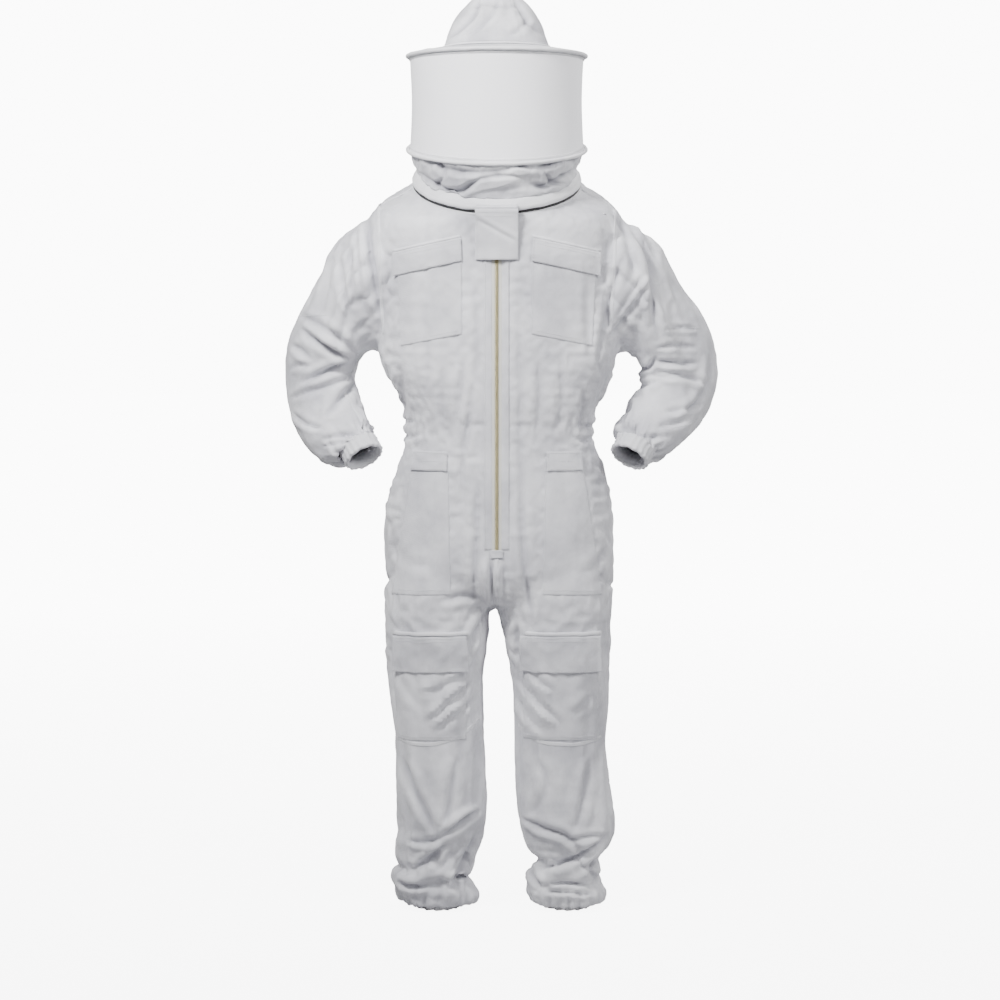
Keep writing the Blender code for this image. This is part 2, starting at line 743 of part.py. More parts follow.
def build_throat_patch():
    """A flap that hangs from the veil's collar over the place where the zips meet."""
    hinge = add_frame("throat_patch_hinge", (0.0, -0.1625, 1.3300))
    plate("throat_patch", (0.0840, 0.0020, 0.0930), (0.0, 0.0, -0.0470), "cotton", hinge)


build_torso()
build_crotch_gusset()
build_waist_elastic()
build_main_zip()
build_torso_pockets()
build_neck_ring()
build_veil()
build_throat_patch()
for side_name, side_sign in SIDES.items():
    build_leg(side_name, side_sign)
    build_sleeve(side_name, side_sign)
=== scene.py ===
"""Looks of the beekeeping suit: white cotton cloth, net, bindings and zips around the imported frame.

Metres, +Z up, the front faces -Y, and the wearer's left is +X.
"""

import json
import math
import random

import bmesh
import bpy
import numpy as np
from mathutils import Matrix, Vector, noise
from mathutils.bvhtree import BVHTree

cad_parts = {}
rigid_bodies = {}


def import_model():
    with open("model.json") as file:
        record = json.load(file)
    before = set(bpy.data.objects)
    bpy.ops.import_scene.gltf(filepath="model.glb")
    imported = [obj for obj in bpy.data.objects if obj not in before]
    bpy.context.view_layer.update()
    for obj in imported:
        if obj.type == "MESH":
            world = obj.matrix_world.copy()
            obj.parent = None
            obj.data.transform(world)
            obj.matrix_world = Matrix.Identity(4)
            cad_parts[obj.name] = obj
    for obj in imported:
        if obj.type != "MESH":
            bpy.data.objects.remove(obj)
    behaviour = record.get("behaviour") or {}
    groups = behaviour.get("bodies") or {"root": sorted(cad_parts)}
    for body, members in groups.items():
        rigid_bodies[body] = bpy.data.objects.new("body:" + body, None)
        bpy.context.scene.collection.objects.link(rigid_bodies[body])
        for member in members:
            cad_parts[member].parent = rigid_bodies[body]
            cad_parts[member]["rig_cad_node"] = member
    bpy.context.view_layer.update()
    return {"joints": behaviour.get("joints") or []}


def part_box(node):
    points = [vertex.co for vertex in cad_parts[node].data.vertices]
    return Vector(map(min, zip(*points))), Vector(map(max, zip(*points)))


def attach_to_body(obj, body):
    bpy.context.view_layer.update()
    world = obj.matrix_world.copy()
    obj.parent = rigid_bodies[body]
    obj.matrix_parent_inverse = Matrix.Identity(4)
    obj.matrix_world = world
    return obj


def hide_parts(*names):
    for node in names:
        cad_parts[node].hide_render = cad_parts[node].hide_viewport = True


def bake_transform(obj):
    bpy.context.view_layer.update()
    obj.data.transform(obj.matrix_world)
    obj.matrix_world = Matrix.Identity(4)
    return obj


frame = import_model()

SIDES = {"left": 1, "right": -1}
random.seed(7)

# ---------------------------------------------------------------- driving sizes

CLOTH_VOXEL = 0.0085       # grid of the garment before it is smoothed
CLOTH_THICKNESS = 0.0009
HEM_Z = 0.009
PELVIS_SPLIT_Z = 0.725     # the legs lie below this height
THIGH_SPLIT_Z = 0.505      # a height in the thigh, above the knee
NECK_TILT = math.radians(23.0)
NECK_AXIS = Vector((0.0, -math.sin(NECK_TILT), math.cos(NECK_TILT)))
NECK_BACK = Vector((0.0, math.cos(NECK_TILT), math.sin(NECK_TILT)))


def box_centre(node):
    low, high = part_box(node)
    return (low + high) / 2.0


neck_zip_low, neck_zip_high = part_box("neck_zip_lower")
NECK_RADIUS = (neck_zip_high.x - neck_zip_low.x) / 2.0 - 0.0011
NECK_CENTRE = box_centre("neck_zip_lower") + NECK_AXIS * 0.0012
ZIP_LOW = Vector((0.0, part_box("main_zip_chain")[1].y - 0.0018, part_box("main_zip_chain")[0].z))
ZIP_HIGH = Vector((0.0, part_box("main_zip_chain")[0].y + 0.0004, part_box("main_zip_chain")[1].z))
SHOULDER = {side["child"]: Vector(side["pos_m"]) for side in frame["joints"] if "shoulder" in side["name"]}
JOINTS = {joint["name"]: joint for joint in frame["joints"]}

# Torso: height at the sides, slope, half width, front and back depth, roundness
TORSO = (
    (0.597, 0.00, 0.195, -0.098, 0.092, 2.3),
    (0.622, 0.00, 0.208, -0.116, 0.110, 2.4),
    (0.652, 0.00, 0.2165, -0.129, 0.125, 2.5),
    (0.700, 0.00, 0.2165, -0.131, 0.128, 2.5),
    (0.780, 0.00, 0.2135, -0.132, 0.124, 2.5),
    (0.840, 0.00, 0.197, -0.132, 0.112, 2.5),
    (0.890, 0.00, 0.179, -0.131, 0.100, 2.5),
    (0.925, 0.00, 0.1745, -0.131, 0.097, 2.5),
    (0.960, 0.00, 0.180, -0.134, 0.101, 2.6),
    (1.000, 0.00, 0.197, -0.137, 0.106, 2.7),
    (1.045, 0.00, 0.219, -0.139, 0.112, 2.7),
    (1.106, 0.00, 0.223, -0.141, 0.117, 2.7),
    (1.170, 0.00, 0.216, -0.142, 0.121, 2.7),
    (1.230, 0.00, 0.222, -0.143, 0.124, 2.6),
    (1.280, 0.06, 0.238, -0.143, 0.128, 2.5),
    (1.312, 0.12, 0.243, -0.143, 0.131, 2.4),
    (1.335, 0.20, 0.232, -0.143, 0.134, 2.3),
    (1.352, 0.29, 0.208, -0.1435, 0.138, 2.2),
    (1.364, 0.37, 0.178, -0.1435, 0.1415, 2.05),
    (1.376, 0.42, 0.1570, -0.1445, 0.1445, 2.0),
    (1.392, 0.4245, 0.1560, -0.1436, 0.1436, 2.0),
)

# Sleeves: centre of each ring, half width in the arm's plane, half width across it
SLEEVE = (
    ((0.150, 0.000, 1.235), 0.075, 0.078),
    ((0.200, 0.000, 1.228), 0.098, 0.088),
    ((0.236, 0.008, 1.188), 0.113, 0.088),
    ((0.270, 0.020, 1.155), 0.090, 0.079),
    ((0.302, 0.033, 1.124), 0.070, 0.071),
    ((0.328, 0.045, 1.082), 0.060, 0.066),
    ((0.343, 0.048, 1.043), 0.060, 0.064),
    ((0.340, 0.034, 1.000), 0.065, 0.063),
    ((0.326, 0.010, 0.962), 0.065, 0.062),
    ((0.304, -0.016, 0.930), 0.063, 0.060),
    ((0.285, -0.034, 0.911), 0.059, 0.057),
    ((0.273, -0.045, 0.901), 0.050, 0.050),
    ((0.2645, -0.0515, 0.8945), 0.041, 0.041),
    ((0.2570, -0.0600, 0.8830), 0.037, 0.037),
)

# Legs: height, inner and outer distance from the middle, front and back depth
LEG_RIGHT = (
    (0.680, 0.012, 0.198, -0.110, 0.104),
    (0.620, 0.004, 0.211, -0.122, 0.115),
    (0.585, 0.014, 0.213, -0.121, 0.114),
    (0.555, 0.018, 0.213, -0.118, 0.110),
    (0.517, 0.020, 0.213, -0.114, 0.105),
    (0.460, 0.026, 0.210, -0.106, 0.098),
    (0.403, 0.028, 0.201, -0.100, 0.092),
    (0.336, 0.031, 0.191, -0.094, 0.086),
    (0.270, 0.026, 0.191, -0.088, 0.085),
    (0.190, 0.023, 0.190, -0.085, 0.087),
    (0.140, 0.036, 0.191, -0.080, 0.084),
    (0.095, 0.049, 0.192, -0.076, 0.078),
    (0.065, 0.060, 0.202, -0.071, 0.073),
    (0.042, 0.044, 0.196, -0.070, 0.071),
    (0.024, 0.034, 0.190, -0.066, 0.066),
    (0.010, 0.044, 0.180, -0.060, 0.060),
    (0.002, 0.062, 0.164, -0.048, 0.048),
)
LEG_LEFT = (
    (0.680, 0.012, 0.200, -0.110, 0.104),
    (0.620, 0.003, 0.217, -0.122, 0.115),
    (0.585, 0.003, 0.219, -0.121, 0.114),
    (0.555, 0.008, 0.218, -0.118, 0.110),
    (0.517, 0.017, 0.217, -0.114, 0.105),
    (0.460, 0.028, 0.214, -0.106, 0.098),
    (0.403, 0.034, 0.212, -0.100, 0.092),
    (0.336, 0.037, 0.205, -0.094, 0.086),
    (0.270, 0.039, 0.212, -0.088, 0.085),
    (0.190, 0.046, 0.226, -0.085, 0.087),
    (0.150, 0.054, 0.219, -0.081, 0.084),
    (0.105, 0.070, 0.203, -0.076, 0.078),
    (0.065, 0.060, 0.197, -0.071, 0.073),
    (0.042, 0.058, 0.203, -0.070, 0.071),
    (0.024, 0.063, 0.207, -0.066, 0.066),
    (0.010, 0.073, 0.197, -0.060, 0.060),
    (0.002, 0.090, 0.180, -0.048, 0.048),
)
LEGS = {"left": LEG_LEFT, "right": LEG_RIGHT}


# ---------------------------------------------------------------- mesh helpers

def signed_power(value, exponent):
    return np.sign(value) * np.abs(value) ** exponent


def mesh_object(name, points, faces, smooth=True):
    """An object from a list of points and faces, shaded smooth."""
    mesh = bpy.data.meshes.new(name)
    mesh.from_pydata([tuple(p) for p in points], [], [tuple(f) for f in faces])
    mesh.update()
    if smooth:
        mesh.shade_smooth()
    item = bpy.data.objects.new(name, mesh)
    bpy.context.scene.collection.objects.link(item)
    return item


def coordinates(mesh):
    flat = np.zeros(len(mesh.vertices) * 3)
    mesh.vertices.foreach_get("co", flat)
    return flat.reshape(-1, 3)


def set_coordinates(mesh, points):
    mesh.vertices.foreach_set("co", np.asarray(points, dtype=np.float32).ravel())
    mesh.update()


def normals(mesh):
    flat = np.zeros(len(mesh.vertices) * 3)
    mesh.vertex_normals.foreach_get("vector", flat)
    return flat.reshape(-1, 3)


def bake_modifiers(item):
    """Replaces an object's mesh by its evaluated mesh and drops the modifiers."""
    bpy.context.view_layer.update()
    graph = bpy.context.evaluated_depsgraph_get()
    mesh = bpy.data.meshes.new_from_object(item.evaluated_get(graph))
    old = item.data
    item.modifiers.clear()
    item.data = mesh
    bpy.data.meshes.remove(old)
    mesh.shade_smooth()
    return item


def smooth_curve(rows, steps):
    """Values between the rows of a table, on a smooth curve, by steps per interval."""
    rows = np.array(rows, float)
    padded = np.vstack([2 * rows[0] - rows[1], rows, 2 * rows[-1] - rows[-2]])
    result = []
    for i in range(1, len(padded) - 2):
        p0, p1, p2, p3 = padded[i - 1:i + 3]
        for k in range(steps):
            t = k / steps
            result.append(0.5 * (2 * p1 + (p2 - p0) * t + (2 * p0 - 5 * p1 + 4 * p2 - p3) * t ** 2
                                 + (3 * p1 - p0 - 3 * p2 + p3) * t ** 3))
    result.append(rows[-1])
    return np.array(result)


def closed_loft(name, rings):
    """A closed solid through rings of equal length, with flat ends."""
    count = len(rings[0])
    points = [p for ring in rings for p in ring]
    faces = []
    for r in range(len(rings) - 1):
        for i in range(count):
            j = (i + 1) % count
            faces.append((r * count + i, r * count + j, (r + 1) * count + j, (r + 1) * count + i))
    faces.append(tuple(reversed(range(count))))
    faces.append(tuple(range((len(rings) - 1) * count, len(rings) * count)))
    item = mesh_object(name, points, faces)
    build = bmesh.new()
    build.from_mesh(item.data)
    bmesh.ops.recalc_face_normals(build, faces=build.faces)
    build.to_mesh(item.data)
    build.free()
    return item


def torso_rings():
    rings = []
    angles = np.linspace(0, math.tau, 64, endpoint=False)
    for height, slope, half_width, front, back, power in smooth_curve(TORSO, 3):
        x = half_width * signed_power(np.cos(angles), 2 / power)
        x += 0.005 * smoothstep(1.12, 1.02, height) + 0.003 * bump(height, 0.99, 0.04)
        x -= 0.009 * bump(height, 1.30, 0.06) * (x > 0.1)
        y = (front + back) / 2 + (back - front) / 2 * signed_power(np.sin(angles), 2 / power)
        rings.append(np.column_stack([x, y, height + slope * y]))
    return rings


def leg_rings(name, side):
    rings = []
    angles = np.linspace(0, math.tau, 48, endpoint=False)
    for height, inner, outer, front, back in smooth_curve(LEGS[name], 3):
        x = side * (inner + outer) / 2 + (outer - inner) / 2 * signed_power(np.cos(angles), 2 / 2.35)
        y = (front + back) / 2 + (back - front) / 2 * signed_power(np.sin(angles), 2 / 2.35)
        rings.append(np.column_stack([x, y, np.full(len(angles), height)]))
    return rings


def sleeve_frames(side):
    """Centre, direction, in-plane and cross half axes along one sleeve."""
    rows = smooth_curve([(*centre, wide, deep) for centre, wide, deep in SLEEVE], 3)
    centres = rows[:, :3] * np.array([side, 1, 1])
    swell = bump(rows[:, 2], 1.095, 0.055)
    centres[:, 0] += side * 0.009 * swell
    rows[:, 3] += 0.012 * swell
    if side > 0:
        centres[:, 0] += 0.014 * bump(rows[:, 2], 1.08, 0.08) - 0.014 * bump(rows[:, 2], 0.930, 0.035)
        centres[:, 2] -= 0.007 * bump(rows[:, 2], 1.22, 0.05)
        rows[:, 3] += 0.009 * bump(rows[:, 2], 1.035, 0.05) - 0.006 * bump(rows[:, 2], 0.925, 0.045)
    along = np.gradient(centres, axis=0)
    along /= np.linalg.norm(along, axis=1)[:, None]
    across = Vector(JOINTS["elbow_left" if side > 0 else "elbow_right"]["axis"]) * -side
    frames = []
    for centre, direction, (wide, deep) in zip(centres, along, rows[:, 3:]):
        direction = Vector(direction)
        share = min(max((centre[2] - 1.05) / 0.15, 0.0), 1.0)
        cross = Vector((0, 1, 0)) * share + across * (1 - share)
        cross = (cross - direction * cross.dot(direction)).normalized()
        outer = cross.cross(direction).normalized()
        frames.append((Vector(centre), direction, outer * wide, cross * deep))
    return frames


def sleeve_rings(side):
    angles = np.linspace(0, math.tau, 40, endpoint=False)
    rings = []
    for centre, _, wide, deep in sleeve_frames(side):
        rings.append([centre + wide * math.cos(a) + deep * math.sin(a) for a in angles])
    return rings


def build_base():
    """One closed form for the whole garment, from lofts joined on a voxel grid."""
    forms = [closed_loft("torso_form", torso_rings())]
    for name, side in SIDES.items():
        forms.append(closed_loft("leg_form_" + name, leg_rings(name, side)))
        forms.append(closed_loft("sleeve_form_" + name, sleeve_rings(side)))
    build = bmesh.new()
    for form in forms:
        build.from_mesh(form.data)
        bpy.data.objects.remove(form)
    mesh = bpy.data.meshes.new("garment")
    build.to_mesh(mesh)
    build.free()
    item = bpy.data.objects.new("garment", mesh)
    bpy.context.scene.collection.objects.link(item)
    remesh = item.modifiers.new("join", "REMESH")
    remesh.mode = "VOXEL"
    remesh.voxel_size = CLOTH_VOXEL
    relax = item.modifiers.new("relax", "SMOOTH")
    relax.factor = 0.5
    relax.iterations = 4
    bake_modifiers(item)
    x, _, z = coordinates(item.data).T
    junctions = bump(z, 0.605, 0.045) * (np.abs(x) < 0.19) + bump(z, 1.10, 0.06) * bump(np.abs(x), 0.235, 0.035)
    group = item.vertex_groups.new(name="junctions")
    for i, weight in enumerate(junctions):
        group.add([i], float(min(weight, 1.0)), "REPLACE")
    soften = item.modifiers.new("soften", "SMOOTH")
    soften.factor = 0.5
    soften.iterations = 16
    soften.vertex_group = "junctions"
    bake_modifiers(item)
    item.vertex_groups.clear()
    return item


def bisect(item, point, direction, inside):
    """Cuts the mesh along a plane and removes what lies beyond it, where the test says so."""
    build = bmesh.new()
    build.from_mesh(item.data)
    zone = [f for f in build.faces if inside(f.calc_center_median())]
    geometry = list({v for f in zone for v in f.verts}) + list({e for f in zone for e in f.edges}) + zone
    bmesh.ops.bisect_plane(build, geom=geometry, plane_co=point, plane_no=direction, dist=0.0004)
    beyond = []
    for face in build.faces:
        centre = face.calc_center_median()
        if inside(centre) and (centre - point).dot(direction) > 0.0:
            beyond.append(face)
    bmesh.ops.delete(build, geom=beyond, context="FACES")
    build.to_mesh(item.data)
    build.free()


def open_ends(item):
    """Opens the form at the neck, wrists and hems."""
    bisect(item, NECK_CENTRE - NECK_AXIS * 0.0042, NECK_AXIS, lambda c: abs(c.x) < 0.17 and c.z > 1.28)
    bisect(item, Vector((0, 0, HEM_Z)), Vector((0, 0, -1)), lambda c: c.z < HEM_Z + 0.03)
    for name, side in SIDES.items():
        start, heading = WRISTS[name]
        bisect(item, start + heading * 0.004, heading, lambda c: (c - start).length < 0.062)
    item.data.shade_smooth()


ELBOWS = {name: Vector(JOINTS["elbow_" + name]["pos_m"]) for name in SIDES}
WRISTS = {}
for side_name in SIDES:
    cuff_middle = box_centre("wrist_cuff_" + side_name)
    heading = (cuff_middle - ELBOWS[side_name]).normalized()
    WRISTS[side_name] = (cuff_middle - heading * 0.0155, heading)


def smoothstep(low, high, value):
    t = np.clip((value - low) / (high - low), 0.0, 1.0)
    return t * t * (3 - 2 * t)


def bump(value, centre, width):
    return np.exp(-((value - centre) / width) ** 2)


def noise_field(points, scale, seed):
    """Smooth seeded noise at each point, stretched by one scale per axis."""
    shift = Vector((seed * 3.7, seed * 1.3, seed * 5.1))
    stretch = np.asarray(points) * np.asarray(scale)
    return np.array([noise.noise(Vector(p) + shift) for p in stretch])


def drape(item):
    """Cloth simulation: the cloth is cut a little larger than the body in it, and held at its openings."""
    points = coordinates(item.data)
    x, y, z = points.T
    hold = np.full(len(points), 0.22)
    hold -= 0.12 * bump(z, 0.22, 0.16)
    hold -= 0.10 * smoothstep(0.25, 0.30, np.abs(x))
    hold -= 0.10 * bump(z, 0.90, 0.10)
    hold += 0.30 * smoothstep(1.24, 1.34, z)
    smooth_front = smoothstep(0.21, 0.16, np.abs(x)) * smoothstep(0.0, -0.05, y)
    hold += 0.45 * smooth_front * smoothstep(0.58, 0.64, z) * (1.0 - 0.2 * bump(z, 0.90, 0.05))
    build = bmesh.new()
    build.from_mesh(item.data)
    build.verts.ensure_lookup_table()
    edge = {v.index for v in build.verts if v.is_boundary}
    build.free()
    group = item.vertex_groups.new(name="hold")
    for i in range(len(points)):
        group.add([i], 1.0 if i in edge else float(max(hold[i], 0.04)), "REPLACE")
    cloth = item.modifiers.new("cloth", "CLOTH")
    settings = cloth.settings
    settings.quality = 5
    settings.mass = 0.25
    settings.tension_stiffness = 12
    settings.compression_stiffness = 12
    settings.shear_stiffness = 6
    settings.bending_stiffness = 0.35
    settings.air_damping = 4
    settings.vertex_group_mass = "hold"
    settings.pin_stiffness = 0.6
    settings.shrink_min = -0.075
    settings.effector_weights.gravity = 0.20
    cloth.collision_settings.use_collision = False
    cloth.point_cache.frame_start = 1
    cloth.point_cache.frame_end = DRAPE_FRAMES
    scene = bpy.context.scene
    for frame_number in range(1, DRAPE_FRAMES + 1):
        scene.frame_set(frame_number)
    bake_modifiers(item)
    item.vertex_groups.clear()
    scene.frame_set(1)
    settled = coordinates(item.data)
    shift = settled - points
    length = np.linalg.norm(shift, axis=1)[:, None]
    limit = 0.020
    capped = shift * np.minimum(1.0, limit / np.maximum(length, 1e-9))
    set_coordinates(item.data, points + capped)
    print("DRAPE", float(length.max()), float(length.mean()))



# ---------------------------------------------------------------- folds

# Each fold: its line across the front in millimetres (x, z), its width and its depth
FRONT_FOLDS = (
    # armholes and upper sleeves
    (((-244, 1318), (-241, 1282), (-228, 1200), (-214, 1125)), 11, 11),
    (((-294, 1245), (-286, 1190), (-278, 1136)), 9, 5),
    (((-274, 1262), (-272, 1210), (-268, 1150)), 8, 5),
    (((-262, 1300), (-258, 1240), (-252, 1180)), 7, 4),
    (((219, 1325), (240, 1290), (252, 1240), (256, 1195)), 10, 6),
    (((241, 1318), (276, 1250), (290, 1200), (296, 1120), (306, 1072)), 9, 8),
    (((289, 1202), (262, 1160), (232, 1120), (205, 1089)), 8, 6),
    (((275, 1215), (246, 1165), (215, 1120)), 7, 4),
    (((238, 1253), (212, 1170), (194, 1089), (190, 1042), (205, 1013)), 8, 5),
    (((268, 1300), (290, 1262), (304, 1235)), 8, 5),
    # elbow folds, wearer's right
    (((-272, 1049), (-300, 1062), (-329, 1078), (-372, 1110)), 8, 9),
    (((-262, 1056), (-296, 1090), (-340, 1118), (-376, 1136)), 9, 5),
    (((-272, 1047), (-320, 1030), (-372, 1005)), 8, 8),
    (((-280, 1012), (-303, 1007), (-350, 992), (-394, 976)), 7, 6),
    (((-267, 1006), (-292, 980), (-325, 944)), 9, 6),
    (((-390, 951), (-358, 929), (-325, 923)), 6, 5),
    (((-329, 900), (-290, 910), (-241, 907)), 7, 5),
    (((-330, 888), (-290, 896), (-250, 893)), 5, 4),
    (((-392, 1078), (-372, 1068), (-352, 1050)), 8, 6),
    (((-395, 1030), (-375, 1040), (-350, 1036)), 7, 4),
    # elbow folds, wearer's left
    (((300, 1049), (330, 1044), (383, 1043)), 7, 7),
    (((300, 1030), (345, 1022), (400, 1003)), 7, 6),
    (((268, 1014), (300, 1020), (345, 1012)), 6, 4),
    (((262, 992), (285, 1004), (312, 1012)), 7, 5),
    (((314, 952), (350, 956), (392, 968)), 7, 5),
    (((300, 1072), (335, 1078), (380, 1072)), 6, 5),
    (((312, 1108), (345, 1111), (382, 1108)), 5, 4),
    (((300, 925), (340, 932), (372, 950)), 7, 5),
    (((262, 912), (300, 905), (330, 912)), 6, 4),
    (((262, 1062), (272, 1034), (290, 1036), (300, 1058)), 6, 7),
    (((404, 1060), (402, 1010), (380, 972), (345, 936)), 8, 5),
    # chest and waist
    (((-126, 1330), (-128, 1230), (-142, 1147), (-128, 1090), (-130, 1000)), 10, 2.5),
    (((-63, 1046), (-68, 990), (-75, 930)), 8, 3.5),
    (((-45, 1012), (-52, 940), (-64, 860), (-60, 790)), 8, 4),
    (((-180, 1045), (-176, 1000), (-172, 945)), 9, 4),
    (((-100, 1040), (-104, 980), (-100, 915)), 10, 3),
    (((78, 1052), (80, 990), (76, 925)), 9, 3.5),
    (((160, 1000), (160, 965), (152, 925)), 7, 5),
    (((118, 1050), (122, 980), (112, 920)), 10, 3),
    (((40, 1150), (44, 1000), (46, 860), (52, 740)), 9, 3),
    (((-40, 1200), (-36, 1080), (-38, 1000)), 9, 2.5),
    (((168, 1215), (168, 1100), (182, 1040)), 9, 3),
    (((-205, 940), (-176, 932), (-150, 938)), 6, 4),
    (((-196, 915), (-168, 905), (-140, 914)), 6, 4),
    (((200, 935), (172, 925), (146, 934)), 6, 4),
    (((190, 908), (165, 900), (140, 910)), 6, 4),
    # lap and crotch
    (((-34, 830), (-38, 720), (-44, 603)), 9, 5),
    (((42, 820), (50, 700), (64, 560)), 9, 5),
    (((-12, 690), (-9, 640), (-4, 584)), 7, 8),
    (((14, 680), (12, 630), (4, 590)), 8, 4),
    (((-110, 600), (-60, 612), (-20, 600)), 9, 3),
    (((-196, 690), (-150, 668), (-110, 672)), 10, 3),
    (((206, 700), (184, 668), (150, 650)), 9, 4),
    (((205, 655), (188, 640), (160, 632)), 7, 3),
    (((-24, 575), (-44, 530), (-60, 470)), 8, 5),
    (((-30, 520), (-46, 480), (-78, 440)), 7, 4),
    (((36, 560), (40, 510), (50, 470)), 8, 4),
    # thighs and knees
    (((-50, 446), (-78, 420), (-127, 374)), 7, 8),
    (((-44, 412), (-74, 388), (-120, 352)), 7, 5),
    (((-60, 468), (-100, 440), (-150, 424)), 7, 4),
    (((-176, 455), (-165, 425), (-150, 400)), 8, 3),
    (((44, 446), (78, 410), (120, 366)), 7, 8),
    (((58, 472), (84, 448), (112, 426)), 6, 6),
    (((40, 410), (60, 376), (92, 346)), 7, 5),
    (((176, 420), (160, 402), (142, 388)), 8, 4),
    # shins
    (((-180, 300), (-160, 245), (-132, 190), (-110, 148)), 10, 5),
    (((-76, 304), (-86, 240), (-94, 190), (-108, 150)), 10, 5),
    (((-30, 196), (-66, 178), (-110, 146)), 8, 8),
    (((-174, 139), (-140, 138), (-106, 146)), 7, 7),
    (((-96, 134), (-125, 108), (-160, 84)), 8, 8),
    (((-36, 152), (-56, 112), (-74, 72), (-94, 44)), 9, 8),
    (((-194, 58), (-165, 50), (-130, 52)), 6, 8),
    (((-100, 62), (-70, 66), (-48, 50)), 6, 5),
    (((178, 300), (163, 225), (151, 166)), 10, 5),
    (((76, 300), (94, 250), (66, 186)), 11, 3),
    (((46, 178), (88, 166), (130, 152), (166, 117)), 8, 8),
    (((134, 144), (168, 150), (206, 150)), 6, 6),
    (((84, 80), (122, 98), (166, 117), (214, 152)), 8, 9),
    (((58, 88), (68, 66), (88, 46)), 7, 7),
    (((100, 58), (135, 60), (178, 48)), 6, 6),
    (((92, 40), (130, 42), (188, 34)), 5, 5),
    (((186, 110), (178, 84), (190, 60)), 7, 5),
)
BACK_FOLDS = (
    (((-170, 1250), (-120, 1150), (-105, 1020), (-112, 930)), 12, 5),
    (((170, 1250), (124, 1160), (108, 1030), (104, 930)), 12, 5),
    (((-60, 1180), (-52, 1060), (-58, 930)), 12, 4),
    (((62, 1190), (50, 1060), (56, 930)), 12, 4),
    (((0, 1120), (6, 1020), (0, 930)), 12, 4),
    (((-200, 1120), (-165, 1060), (-150, 960)), 10, 6),
    (((200, 1120), (168, 1060), (152, 960)), 10, 6),
    (((-180, 690), (-120, 640), (-40, 606)), 11, 7),
    (((180, 690), (120, 640), (40, 606)), 11, 7),
    (((-190, 640), (-130, 590), (-50, 570)), 10, 6),
    (((192, 640), (130, 592), (52, 570)), 10, 6),
    (((-8, 800), (0, 700), (0, 590)), 9, 5),
    (((-200, 360), (-120, 342), (-40, 362)), 10, 8),
    (((-198, 318), (-120, 300), (-38, 322)), 9, 6),
    (((206, 360), (130, 342), (44, 362)), 10, 8),
    (((206, 318), (130, 300), (44, 322)), 9, 6),
    (((-190, 420), (-130, 400), (-60, 420)), 9, 4),
    (((198, 424), (130, 402), (60, 420)), 9, 4),
    (((-180, 210), (-110, 170), (-40, 150)), 9, 7),
    (((206, 214), (130, 172), (60, 150)), 9, 7),
    (((-60, 170), (-120, 120), (-180, 90)), 9, 7),
    (((70, 170), (140, 120), (204, 92)), 9, 7),
    (((-392, 1060), (-350, 1050), (-300, 1066)), 8, 7),
    (((-390, 1020), (-345, 1010), (-290, 1030)), 8, 6),
    (((-380, 975), (-340, 970), (-300, 990)), 8, 5),
    (((400, 1060), (350, 1050), (300, 1066)), 8, 7),
    (((400, 1018), (345, 1008), (290, 1030)), 8, 6),
    (((385, 972), (340, 966), (300, 990)), 8, 5),
    (((-240, 1310), (-232, 1220), (-220, 1120)), 10, 8),
    (((240, 1310), (232, 1220), (220, 1120)), 10, 8),
    (((-300, 1230), (-290, 1170), (-310, 1120)), 9, 5),
    (((300, 1230), (290, 1170), (310, 1120)), 9, 5),
)


def fold_field(points, line, width, depth):
    """Height change from one fold: a crease, and a soft ridge along each side of it."""
    result = np.zeros(len(points))
    flat = points[:, [0, 2]]
    line = smooth_curve(np.array(line) * 0.001, 3)
    width *= 0.001
    spans = np.linalg.norm(np.diff(line, axis=0), axis=1)
    total = spans.sum()
    nearest = np.full(len(points), 1.0)
    offset = np.zeros(len(points))
    place = np.zeros(len(points))
    walked = 0.0
    for start, end, span in zip(line[:-1], line[1:], spans):
        direction = (end - start) / span
        relative = flat - start
        along = np.clip(relative @ direction, 0.0, span)
        gap = relative - along[:, None] * direction
        distance = np.linalg.norm(gap, axis=1)
        closer = distance < nearest
        nearest = np.where(closer, distance, nearest)
        side = np.sign(relative[:, 0] * direction[1] - relative[:, 1] * direction[0])
        offset = np.where(closer, side * distance, offset)
        place = np.where(closer, (walked + along) / total, place)
        walked += span
    swell = np.clip(np.minimum(place, 1.0 - place) * 4.0, 0.0, 1.0) ** 0.7
    reach = width * (0.55 + 0.45 * swell)
    crease = np.exp(-(nearest / (0.62 * reach)) ** 2)
    ridge = 0.85 * np.exp(-((offset - 1.55 * reach) / reach) ** 2)
    ridge += 0.45 * np.exp(-((offset + 1.7 * reach) / reach) ** 2)
    result = (ridge - crease) * swell * depth * 0.001
    return result


def gathers(points, centre, axis, reach, depth, count, seed):
    """Small pleats that run into an elastic, strongest at the elastic itself."""
    axis = Vector(axis).normalized()
    side = axis.orthogonal().normalized()
    other = axis.cross(side)
    relative = points - np.array(centre)
    height = relative @ np.array(axis)
    angle = np.arctan2(relative @ np.array(other), relative @ np.array(side))
    radius = np.linalg.norm(relative - height[:, None] * np.array(axis), axis=1)
    wobble = noise_field(np.column_stack([np.cos(angle), np.sin(angle), height * 12]), (2.2, 2.2, 1.0), seed)
    wave = np.sin(angle * count + wobble * 5.0)
    near = np.exp(-(height / reach) ** 2) * (radius < 0.30)
    return wave * near * depth * (0.65 + 0.5 * wobble)


